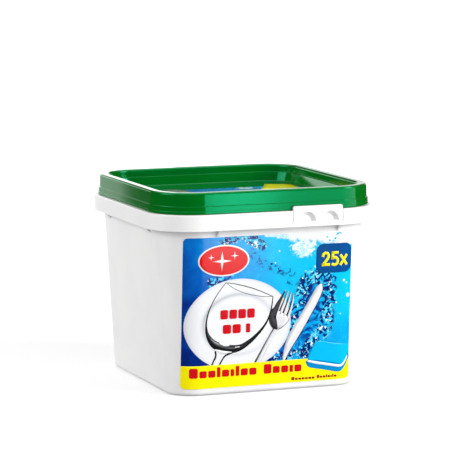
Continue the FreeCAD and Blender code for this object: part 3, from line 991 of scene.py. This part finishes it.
def plate_tone(x, z):
    """Tone of the plate: 1 on the flats, lower along the ring of the well, most at the upper left."""
    across, up = (x - PLATE_X) / PLATE_A, (z - PLATE_Z) / PLATE_B
    reach = np.hypot(across, up)
    well = np.exp(-((reach - 0.66) / 0.045) ** 2) * (0.55 - 0.25 * across + 0.2 * up)
    rim = np.exp(-((reach - 0.99) / 0.03) ** 2) * 0.35
    slope = np.clip((reach - 0.66) / 0.34, 0, 1) * 0.12
    return np.clip(0.98 - well - rim - slope, 0, 1)


plate_x, plate_z = spread(plate_edge, 36)
plate_faces = outward(spread_faces(*plate_x.shape), on_wall, plate_x, plate_z)
plate_piece = make_mesh("label_plate", on_wall(plate_x, plate_z, FILM + LAYER), plate_faces)
attribute(plate_piece, "tone", plate_tone(plate_x, plate_z))
plate_piece.data.shade_smooth()
settle(plate_piece, plate_finish(), "tub", "front_print")
print("plate", plate_x.size, "points, widest", round(2 * PLATE_A, 1), "mm")

# %% The glass
black_ink = ink("black_ink", (0.012, 0.012, 0.016))
white_ink = ink("white_ink", (0.88, 0.89, 0.90))
grey_ink = ink("grey_ink", (0.16, 0.16, 0.19), 0.25)
pale_ink = ink("pale_steel_ink", (0.74, 0.74, 0.77), 0.05)
dark_steel_ink = ink("dark_steel_ink", (0.055, 0.05, 0.06), 0.3)

bowl = [(-25.9, 61.5), (-29.9, 56.5), (-33.3, 51.0), (-35.8, 45.0), (-36.8, 38.6), (-35.6, 32.8),
        (-31.9, 28.0), (-26.4, 25.6), (-21.0, 24.9), (-16.2, 25.8), (-11.2, 28.8), (-7.0, 32.4),
        (-3.6, 36.2), (-1.0, 40.6), (0.6, 46.3), (1.4, 52.4)]
bowl_width = [0.35, 0.4, 0.5, 0.7, 1.0, 2.2, 4.2, 4.6, 4.4, 3.2, 2.4, 1.7, 1.2, 0.9, 0.7, 0.45]
rim_top = [(-25.9, 61.5), (-19.8, 60.4), (-11.6, 58.0), (-4.8, 55.3), (1.4, 52.4)]
rim_low = [(-25.9, 61.5), (-21.1, 58.1), (-14.3, 55.0), (-5.5, 52.9), (1.4, 52.4)]
stem_left = [(-31.4, 24.4), (-31.0, 21.8), (-32.4, 18.6), (-33.6, 15.8)]
stem_right = [(-21.8, 23.0), (-25.6, 21.4), (-27.6, 18.8), (-29.2, 15.8)]
print_shapes("label_glass", strokes(
    (bowl, bowl_width), (rim_top, [0.3, 0.45, 0.5, 0.45, 0.35]), (rim_low, [0.2, 0.3, 0.3, 0.3, 0.2]),
    (stem_left, [0.9, 1.0, 0.8, 0.9]), (stem_right, [1.2, 0.9, 0.8, 0.9]), count=72), black_ink, 3)
print_shapes("label_glass_light", strokes(
    ([(-29.0, 28.6), (-26.2, 27.6), (-23.4, 27.0)], [0.6, 1.7, 0.8]),
    ([(-31.4, 25.2), (-27.0, 23.6), (-22.0, 23.2)], [0.5, 1.5, 0.5]),
    ([(-20.0, 25.8), (-17.4, 25.9)], [0.5, 0.3]),
    ([(-29.6, 21.6), (-30.6, 18.6), (-31.6, 15.8)], [2.2, 1.6, 1.8])), white_ink, 4)

# %% [markdown]
# The fork and the knife are polished steel: pale, with a dark edge on the
# side that turns away. Each is drawn twice, a dark shape and a slightly
# smaller pale one on top of it that leaves the dark edge showing.

# %% The fork and the knife
fork_bowl = smooth_loop([(10.2, 41.0), (6.9, 43.4), (3.4, 45.4), (1.2, 45.8), (-0.5, 42.5), (-0.5, 38.2),
                         (1.8, 34.6), (4.8, 33.9), (8.4, 35.9), (10.9, 38.8)], 8)
fork_shade = smooth_loop([(1.6, 45.6), (-0.4, 42.4), (-0.4, 38.4), (1.8, 34.8), (4.4, 34.2), (3.6, 37.5),
                          (3.4, 41.0), (5.2, 46.4), (8.3, 54.9), (5.6, 51.6), (3.4, 48.6)], 8)
tine_root = [(3.0, 43.4), (5.4, 42.9), (7.6, 41.9), (9.8, 40.4)]
tine_tip = [(8.6, 55.6), (10.3, 54.9), (12.0, 54.1), (13.5, 53.2)]
tine_bend = [(5.4, 49.6), (7.8, 48.6), (9.8, 47.7), (12.2, 46.7)]
tines = [([root, bend, tip], [1.9, 1.7, 0.6])
         for root, bend, tip in zip(tine_root, tine_bend, tine_tip)]
tine_light = [([(root[0] + 0.35, root[1] - 0.6), (bend[0] + 0.3, bend[1]), tip], [1.3, 1.0, 0.25])
              for root, bend, tip in zip(tine_root, tine_bend, tine_tip)]
handle = [(3.6, 35.0), (0.4, 30.2), (-2.6, 24.8), (-7.4, 15.8)]
knife = [(29.6, 57.6), (28.4, 54.6), (25.2, 48.4), (19.4, 38.6), (13.6, 29.2), (10.4, 22.6), (8.3, 16.0)]
knife_width = [1.6, 4.6, 5.4, 5.8, 5.8, 4.0, 1.6]
print_shapes("label_cutlery_edge", spreads(fork_bowl) + strokes(
    *tines, (handle, [3.0, 2.4, 2.8, 3.4]), (knife, knife_width)), black_ink, 3)
print_shapes("label_cutlery", spreads(scaled(fork_bowl, 0.9) + np.array([0.35, 0.0])) + strokes(
    *tine_light, ([(x + 0.3, z) for x, z in handle], [2.3, 1.8, 2.1, 2.6]),
    ([(x - 0.22, z + 0.12) for x, z in knife], [w - 0.45 for w in knife_width])), pale_ink, 4)
print_shapes("label_fork_shade", spreads(fork_shade), dark_steel_ink, 5)
print_shapes("label_handle_shade", strokes(
    ([(x - 1.0, z) for x, z in handle], [0.4, 0.5, 0.6, 0.5])), grey_ink, 5)
print_shapes("label_cutlery_glint", strokes(
    ([(6.4, 36.2), (8.6, 38.0), (8.9, 40.4)], [0.6, 1.3, 0.8]),
    ([(26.4, 52.0), (20.4, 41.6), (14.2, 31.6), (10.2, 25.0)], [1.0, 2.2, 2.3, 0.8])), white_ink, 5)

# %% [markdown]
# ## Badge, emblem and words
#
# The count of tablets stands on a blue badge in plain numerals. The maker's
# mark and all words are left out: a plain red oval with a white border and a
# sparkle takes the place of the mark, and rows of red blocks show where the
# words are, as a layout sketch does.

# %% The badge and its count
badge_ink = ink("badge_blue_ink", (0.0, 0.068, 0.26))
yellow_ink = ink("yellow_ink", (0.97, 0.86, 0.0), 0.02)
red_ink = ink("red_ink", (0.70, 0.0, 0.001), 0.04)
print_shapes("label_badge", fields((26.2, 47.4, 63.6, 79.8, 4.0), cell=0.8), badge_ink, 2)
NUMERAL_W = 1.5
two = [(29.9, 72.6), (30.3, 74.0), (31.7, 74.7), (33.1, 73.9), (33.2, 72.3), (31.9, 70.3), (29.9, 68.2)]
five = [(35.5, 71.3), (36.9, 72.0), (38.3, 71.4), (38.8, 70.0), (38.2, 68.5), (36.8, 67.9), (35.3, 68.5)]
count_paths = [two, [(29.4, 68.2), (34.2, 68.2)], five, [(35.7, 70.9), (35.9, 75.3)],
               [(35.3, 74.6), (39.2, 74.6)], [(40.3, 73.3), (44.4, 67.6)], [(44.4, 73.3), (40.3, 67.6)]]
print_shapes("label_count", strokes(*[(path, [NUMERAL_W] * len(path)) for path in count_paths], count=28),
             yellow_ink, 3)


# %% The emblem
def sparkle(x, z, size, waist=0.2):
    """Four-pointed star: points at the full size, waists between them."""
    turn = np.arange(8) * math.pi / 4
    arm = np.where(np.arange(8) % 2 == 0, size, size * waist)
    return np.column_stack([x + arm * np.sin(turn), z + arm * np.cos(turn)])


def emblem(name, x, z, half_x, half_z, border, stars, layer, rings, **on):
    """Red oval in a white border, with a star for each (right, up, size) from its middle."""
    print_shapes(name + "_border", spreads(ellipse(x, z, half_x, half_z), rings=rings), white_ink, layer, **on)
    print_shapes(name, spreads(ellipse(x, z, half_x - border, half_z - border), rings=rings),
                 red_ink, layer + 1, **on)
    print_shapes(name + "_sparkle", spreads(*[sparkle(x + right, z + up, size) for right, up, size in stars]),
                 white_ink, layer + 2, **on)


emblem("label_emblem", -27.3, 73.6, 14.6, 8.6, 0.8,
       [(-1.0, -0.3, 5.4), (6.2, 2.4, 2.4), (-7.2, 1.9, 1.9)], 2, 20)

# %% The band and the words
BAND_TOP = 16.7
band_x, band_z = field(LABEL_LEFT, LABEL_RIGHT, LABEL_LOW, BAND_TOP, LABEL_R, 0.0, 0.8)
print_shapes("label_band", [(band_x, band_z, "field")], yellow_ink, 5)


def word(left, right, low, pattern, x_height, tall):
    """Blocks in place of letters: n and N are wide, i and l narrow; N and l are tall."""
    widths = np.array([{"n": 1.0, "N": 1.1, "i": 0.5, "l": 0.5}[mark] for mark in pattern])
    gap = 0.2
    scale = (right - left) / (widths.sum() + gap * (len(widths) - 1))
    starts = left + scale * (np.cumsum(widths + gap) - widths - gap)
    heights = [tall if mark in "Nl" else x_height for mark in pattern]
    return [(start, start + scale * width, low, low + height, 0.22 * scale * width)
            for start, width, height in zip(starts, widths, heights)]


print_shapes("label_words", fields(
    *word(-45.6, -7.4, 9.9, "Nnnlnilnn", 3.9, 5.5), *word(-3.2, 18.8, 9.9, "Nnnin", 3.9, 5.3),
    *word(-28.7, -9.0, 41.5, "NNNN", 5.1, 5.1), *word(-27.2, -16.9, 33.5, "NN", 5.0, 5.0),
    *word(-13.9, -11.5, 33.5, "l", 5.0, 5.0), cell=0.4), ink("word_red_ink", (0.62, 0.004, 0.01), 0.06), 6)
print_shapes("label_small_words", fields(
    *word(13.1, 26.7, 5.2, "Nnnnnnn", 1.2, 1.8), *word(28.0, 39.7, 5.4, "Nnnlniln", 1.2, 1.8)),
    ink("brown_ink", (0.35, 0.02, 0.01)), 6)

# %% [markdown]
# ## The tablet picture and the drops
#
# A pressed tablet is shown at the lower right: a bright top, a white layer
# and a darker side. A few larger drops are shapes of their own, scattered
# along the trail by a generator with a fixed seed, so every run is the same.

# %% The tablet picture
cyan_ink = ink("cyan_ink", (0.0, 0.47, 0.84), 0.04)
side_ink = ink("side_blue_ink", (0.0, 0.25, 0.60), 0.05)
tablet_side = smooth_loop([(22.2, 15.8), (22.3, 12.7), (24.8, 11.4), (32.6, 9.8), (40.4, 8.2), (43.2, 9.2),
                           (46.2, 13.2), (46.9, 17.5), (34.0, 17.0)], 6)
tablet_top = smooth_loop([(22.4, 16.2), (24.4, 21.4), (26.6, 25.3), (31.0, 25.7), (39.0, 24.3), (46.2, 23.0),
                          (47.1, 20.6), (45.4, 15.4), (42.6, 12.6), (36.0, 13.8), (28.0, 15.4)], 6)
print_shapes("label_tablet_side", spreads(tablet_side, rings=12), side_ink, 6)
print_shapes("label_tablet_top", spreads(tablet_top, rings=12), cyan_ink, 7)
print_shapes("label_tablet_stripe", strokes(
    ([(22.3, 15.4), (27.5, 14.1), (34.0, 12.8), (40.4, 11.5), (42.8, 11.8), (44.8, 13.8), (46.4, 16.6)],
     [1.0, 1.4, 1.4, 1.3, 1.2, 1.0, 0.6])), white_ink, 8)

# %% How drops are strewn
chance = np.random.default_rng(25)
navy_ink = ink("navy_ink", (0.0, 0.016, 0.17), 0.15)
foam_ink = ink("foam_ink", (0.70, 0.90, 0.96), 0.05)


def drops(path, how_many, stray, sizes):
    """Round blobs strewn along a path, each a wavy ellipse of its own size, stretch and tilt."""
    seats = path[chance.integers(0, len(path), how_many)] + chance.normal(0, stray, (how_many, 2))
    blobs = []
    for (x, z), size, tilt, pull in zip(seats, chance.uniform(*sizes, how_many),
                                        chance.uniform(0, 180, how_many), chance.uniform(0.35, 1.0, how_many)):
        outline = ellipse(x, z, size, size * pull, 14, tilt)
        wave = 1 + 0.22 * np.sin(3 * np.linspace(0, 2 * math.pi, 14, endpoint=False) + tilt)
        blob = scaled(outline, wave[:, None])
        inside = (abs(blob[:, 0] - (LABEL_LEFT + LABEL_RIGHT) / 2) < (LABEL_RIGHT - LABEL_LEFT) / 2 - 0.5)
        if inside.all() and BAND_TOP < blob[:, 1].min() and blob[:, 1].max() < LABEL_HIGH - 0.5:
            blobs.append(blob)
    return blobs


# %% Drops and bubbles
dark_drops = drops(trail_outer, 14, 1.7, (0.5, 1.5)) + drops(trail_inner, 8, 1.7, (0.4, 1.3))
dark_drops += drops(splash_top, 6, 1.0, (0.4, 1.4)) + drops(streak_long, 4, 0.8, (0.4, 1.2))
pale_drops = drops(trail_outer, 14, 2.6, (0.3, 0.8)) + drops(trail_inner, 9, 2.4, (0.3, 0.7))
pale_drops += drops(splash_top, 6, 1.6, (0.3, 0.8))
bubbles = [ellipse(x, z, r, r, 20) for x, z, r in (
    (45.8, 50.6, 1.2), (42.9, 59.0, 0.7), (44.6, 57.6, 0.5), (29.5, 32.8, 0.8), (2.4, 70.8, 0.4),
    (-3.3, 80.2, 0.35), (38.5, 47.0, 0.45), (41.2, 40.5, 0.35), (4.6, 77.2, 0.45), (38.0, 83.2, 0.5))]
over_badge = [ellipse(x, z, a, b, 16, tilt) for x, z, a, b, tilt in (
    (32.3, 83.5, 0.8, 0.35, 30), (33.8, 81.6, 0.7, 0.4, -20), (38.6, 85.1, 1.3, 0.5, 35),
    (40.2, 85.3, 0.7, 0.4, 0), (37.2, 82.6, 0.9, 0.5, 50), (36.2, 81.3, 0.5, 0.3, 0))]
print_shapes("label_drops_dark", spreads(*dark_drops), navy_ink, 1)
print_shapes("label_drops_clear", spreads(*over_badge), cyan_ink, 1)
print_shapes("label_drops_pale", spreads(*pale_drops, *bubbles), foam_ink, 1.5)
print("drops", len(dark_drops), "dark,", len(pale_drops), "pale")

# %% [markdown]
# ## The lid's label
#
# The lid carries a second film on its sunken panel. It's clear round its edge,
# so the green shows through, and prints a wave of the same water, a plate at
# the left and a yellow field at the right. It's seen at a low angle in the
# recess, so its shapes are large and few. The wave is a field whose rows sink
# towards the left end by a smooth step, 3t^2 - 2t^3.

# %% The lid's clear film
lid_label_low, lid_label_high = node_box("lid_label")
LID_LABEL_R, CLEAR_EDGE = 8.0, 1.5
lid_x, lid_y = field(lid_label_low[0], lid_label_high[0], lid_label_low[1], lid_label_high[1],
                     LID_LABEL_R, LID_LABEL_R, 1.2)
lid_film = print_shapes("lid_film", [(lid_x, lid_y, "field")], green_plastic, 0,
                        on_panel, "lid", "lid_print")
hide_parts("lid_label")

# %% The lid's wave of water
on_lid = {"place": on_panel, "body": "lid", "slot": "lid_print"}
WATER_BACK, WAVE_FALL, WAVE_START, WAVE_END = 29.3, 26.0, -20.0, -49.0
water_x, water_y = field(lid_label_low[0] + CLEAR_EDGE, lid_label_high[0] - CLEAR_EDGE,
                         lid_label_low[1] + CLEAR_EDGE, WATER_BACK, 6.0, 3.0, 1.0)
fall = np.clip((WAVE_START - water_x) / (WAVE_START - WAVE_END), 0, 1)
fall = WAVE_FALL * fall ** 2 * (3 - 2 * fall)
up_share = (water_y - water_y.min()) / (WATER_BACK - water_y.min())
water_y = water_y - up_share * fall
lid_share = (water_x - water_x.min()) / (water_x.max() - water_x.min())
lid_trail = smooth_path([(16, 36), (20, 22), (12, 6), (-4, -12), (-18, -30)], 30)
water_sheet("lid_water", water_x, water_y, {
    "depth": 0.35 + 0.45 * lid_share, "churn": glow(near(lid_trail, water_x, water_y), 5.0),
    "streak": 0 * water_x, "foam": 0.8 * glow(np.hypot(water_x - 18, water_y - 24), 7.0),
    "fade": 0 * water_x, "murk": 0.5 * glow(near(lid_trail, water_x, water_y), 9.0),
}, on_panel, "lid", "lid_print", 0.05)

# %% The lid's plate, yellow field and emblem
lid_plate = ellipse(-25.0, 23.0, 8.6, 11.6, 72)
print_shapes("lid_plate_edge", spreads(lid_plate, rings=3), grey_ink, 3, **on_lid)
print_shapes("lid_plate", spreads(scaled(lid_plate, 0.72), rings=3),
             ink("shaded_plate_ink", (0.26, 0.25, 0.25), 0.2), 4, **on_lid)
print_shapes("lid_plate_well", strokes(
    (ellipse(-25.0, 22.0, 3.6, 4.6, 40), [0.9] * 40), count=120), grey_ink, 5, **on_lid)
yellow_block = rounded([(24.5, 15.5, 2), (47.5, 6.5, 2), (49.8, 33.0, 3), (36.5, 40.6, 2)], closed=True)
print_shapes("lid_yellow_field", spreads(yellow_block, rings=4), yellow_ink, 3, **on_lid)
emblem("lid_emblem", 30.0, -22.0, 15.0, 10.0, 1.0, [(0.0, 0.0, 6.0)], 3, 3, **on_lid)

# %% [markdown]
# ## The tablets
#
# Each pressed tablet is a block of two colours with a white layer between
# them. Its shape is the same idea as the tub's: an edge section carried round
# a rounded rectangle. Where a tablet lies is read from its CAD node: the axes
# of its cloud of points are the tablet's own length, width and thickness.

# %% Tablet finish
TABLET_L, TABLET_W, TABLET_H = 34.0, 25.0, 15.0
TABLET_R, LEAST_ARM, TABLET_TURN = 3.0, 0.2, 6
CAP = TABLET_W / 2 - 1.0
DISH = 0.25


def tablet_finish():
    """Pressed powder in layers: blue, white and cyan by height, speckled and slightly rough."""
    material, tree, output = new_finish("pressed_powder")
    where = add(tree, "TexCoord").outputs["Object"]
    grains = noise(tree, where, 1400, 3)
    height = wavering(tree, stored(tree, "layer"), noise(tree, where, 260, 3), 0.05)
    blue, white, cyan = (0.0, 0.20, 0.52), (0.80, 0.84, 0.86), (0.01, 0.38, 0.72)
    layers = ramp(tree, height, [(0.0, blue), (0.36, blue), (0.38, white), (0.52, white),
                                 (0.54, cyan), (1.0, cyan)])
    speck = mixed(tree, window(tree, grains, 0.60, 0.68), layers, (0.55, 0.72, 0.85))
    speck = mixed(tree, window(tree, noise(tree, where, 900, 2), 0.66, 0.72), speck, (0.0, 0.05, 0.30))
    normal = bumps(tree, [(grains, 0.35, 0.0002), (noise(tree, where, 240, 3), 0.2, 0.0004)])
    surface(tree, output, {"Base Color": speck, "Normal": normal, "Roughness": 0.72})
    return material


# %% Tablet surface
tablet_outline = rounded([
    (CAP, DISH, 0), (1.6, 0.0, 0.5), (0.05, 1.5, 0.6), (0.0, TABLET_H - 1.5, 0.6), (1.6, TABLET_H, 0.5),
    (CAP, TABLET_H - DISH, 0)])
inset, level = tablet_outline[:, 0], tablet_outline[:, 1]


def tablet_grid():
    """Rounded block: corners of radius 3 on the sides, and a track that shrinks to the middle.

    Past the corner radius an inset also shortens the straight runs, so the
    half sides are side - inset and the corner's arm is max(3 - inset, 0.2).
    """
    angle, side_x, side_y = stations(TABLET_TURN)
    arm = np.maximum(TABLET_R - inset, LEAST_ARM)[:, None]
    x = side_x * (TABLET_W / 2 - inset[:, None] - arm) + arm * np.cos(angle)
    y = side_y * (TABLET_L / 2 - inset[:, None] - arm) + arm * np.sin(angle)
    return np.stack([x, y, np.broadcast_to(level[:, None] - TABLET_H / 2, x.shape)], axis=-1)


tablet_points = tablet_grid()
tablet_faces = closed_faces(*tablet_points.shape[:2])
print("tablet points", tablet_points.shape[:2], "faces", len(tablet_faces))


# %% Where the tablets lie
def lie_of(node):
    """Middle and axes (width, length, thickness) of a tablet, from its points.

    The axes are the eigenvectors of the points' covariance; the middle is
    half way between the extremes along each axis.
    """
    points = np.array([vertex.co for vertex in node.data.vertices]) / MM
    thickness, width = np.linalg.eigh(np.cov(points.T))[1].T[:2]
    thickness = thickness * np.sign(thickness[2])
    length = np.cross(thickness, width)
    frame_axes = np.array([width, length, thickness])
    along = points @ frame_axes.T
    return (along.max(0) + along.min(0)) / 2, frame_axes, along.max(0) - along.min(0)


pressed_powder = tablet_finish()
tablet_nodes = sorted(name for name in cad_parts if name.startswith("tablet_"))
for name in tablet_nodes:
    middle, axes, span = lie_of(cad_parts[name])
    tablet = make_mesh("pressed_" + name, (tablet_points + middle) @ axes, tablet_faces)
    attribute(tablet, "layer", (tablet_points[..., 2] / TABLET_H + 0.5))
    face_outwards(tablet)
    soften(tablet, 50)
    settle(tablet, pressed_powder, "tub", "pressed_tablet", name)
print(len(tablet_nodes), "tablets, the last one spans", span.round(2))

# %% [markdown]
# ## Floor, light and camera
#
# The tub stands on a plain white floor under soft light. A broad box at the
# upper right gives the bright front and the shade inside the finger grips, and
# a weaker one at the left leaves that side a little grey. Gloss shows what
# stands round the object, so the surroundings are dark to reflections and four
# cards are placed by the mirror rule: two put the light and its brightest band
# on the lid's front, one the pale end on its left side, and one behind, above
# the horizon, the white line on its crest. The floor carries a painted glow,
# weakest next to the tub and stronger further out, so that it stays white
# behind a soft shadow.

# %% Floor
floor = make_mesh("floor", [(-4000, -4000, -0.05), (4000, -4000, -0.05), (4000, 4000, -0.05),
                            (-4000, 4000, -0.05)], [[0, 1, 2, 3]])
floor_finish, floor_tree, floor_output = new_finish("studio_floor")
floor_where = add(floor_tree, "TexCoord").outputs["Object"]
floor_colour = mixed(floor_tree, noise(floor_tree, floor_where, 3, 2), (0.93, 0.93, 0.93), (0.95, 0.95, 0.95))
distance = add(floor_tree, "VectorMath", {0: floor_where}, operation="LENGTH").outputs["Value"]
# Painted glow on the floor: its emission is weakest next to the tub and grows with distance from it.
painted_floor_glow = add(floor_tree, "MapRange", {"Value": distance, "From Min": 0.08, "From Max": 1.2,
                                     "To Min": 0.14, "To Max": 0.70}).outputs[0]
surface(floor_tree, floor_output, {"Base Color": floor_colour, "Roughness": 0.6, "Specular IOR Level": 0.0,
                                   "Emission Color": (1, 1, 1, 1), "Emission Strength": painted_floor_glow})
floor.data.materials.append(floor_finish)
floor.visible_glossy = False
floor.visible_diffuse = False
print("floor finish", len(floor_tree.nodes), "nodes")

# %% World
scene = bpy.context.scene
world = bpy.data.worlds.new("studio")
scene.world = world
world.use_nodes = True
sky = world.node_tree
rays = add(sky, "LightPath")
aim = add(sky, "SeparateXYZ", {0: add(sky, "TexCoord").outputs["Generated"]})
overhead = add(sky, "MapRange", {"Value": aim.outputs["Z"], "From Min": 0.45, "From Max": 0.85,
                                 "To Min": 0.04, "To Max": 2.5}, interpolation_type="SMOOTHSTEP")
seen = add(sky, "Mix", {"Factor": rays.outputs["Is Camera Ray"], "A": 0.43, "B": 1.05})
mirrored = add(sky, "Mix", {"Factor": rays.outputs["Is Glossy Ray"], "A": seen.outputs["Result"],
                            "B": overhead.outputs[0]})
sky.links.new(mirrored.outputs["Result"], sky.nodes["Background"].inputs["Strength"])
sky.nodes["Background"].inputs["Color"].default_value = (1, 1, 1, 1)
print("sky", len(sky.nodes), "nodes")


# %% Lights
def soft_box(name, place, aim, width, height, power):
    """Area light at a place in metres, turned to face its aim; the camera doesn't see it."""
    data = bpy.data.lights.new(name, "AREA")
    data.shape = "RECTANGLE"
    data.size, data.size_y, data.energy = width, height, power
    light = bpy.data.objects.new(name, data)
    scene.collection.objects.link(light)
    light.location = place
    light.rotation_euler = (Vector(aim) - Vector(place)).to_track_quat("-Z", "Y").to_euler()
    light.visible_camera = False
    print(name, "%.2f W, %.2f m wide" % (power, width))
    return light


middle_of_tub = (0.0, 0.0, HEIGHT / 2 * MM)
soft_box("key_box", (1.1, -1.0, 0.6), middle_of_tub, 0.6, 0.6, 22.0)
soft_box("side_box", (-1.4, -0.1, 0.6), middle_of_tub, 0.9, 0.9, 13.7)
soft_box("top_box", (0.1, 0.6, 1.5), middle_of_tub, 1.2, 1.2, 5.0)
soft_box("front_card", (0.91, -0.97, 0.05), (0.0, 0.0, 0.05), 1.3, 0.32, 4.6)
soft_box("band_card", (0.133, -0.468, 0.055), (0.133, 0.0, 0.055), 0.052, 0.2, 0.2)
flank_card = soft_box("flank_card", (-0.046, 0.15, 0.045), (-0.046, 0.0, 0.045), 0.132, 0.21, 0.09)
flank_card.visible_diffuse = False  # it stands close, so it's only for gloss to show
soft_box("back_card", (0.39, 1.45, 0.33), (0.0, 0.0, 0.33), 2.4, 0.44, 4.2)

# %% Camera
camera_data = bpy.data.cameras.new("camera")
camera = bpy.data.objects.new("camera", camera_data)
scene.collection.objects.link(camera)
scene.camera = camera
CAMERA_AT = Vector((-0.5005, -1.3285, 0.2669))
LOOKS_AT = Vector((0.0512, 0.1320, 0.0609))
ROLL = math.radians(-0.183)
turn = (LOOKS_AT - CAMERA_AT).to_track_quat("-Z", "Y").to_matrix()
camera.matrix_world = Matrix.Translation(CAMERA_AT) @ (turn @ Matrix.Rotation(ROLL, 3, "Z")).to_4x4()
camera_data.lens = 197.7
camera_data.sensor_width = 36.0
camera_data.clip_end = 50.0
scene.view_settings.view_transform = "Standard"
print("camera %.2f m from the tub" % (LOOKS_AT - CAMERA_AT).length)
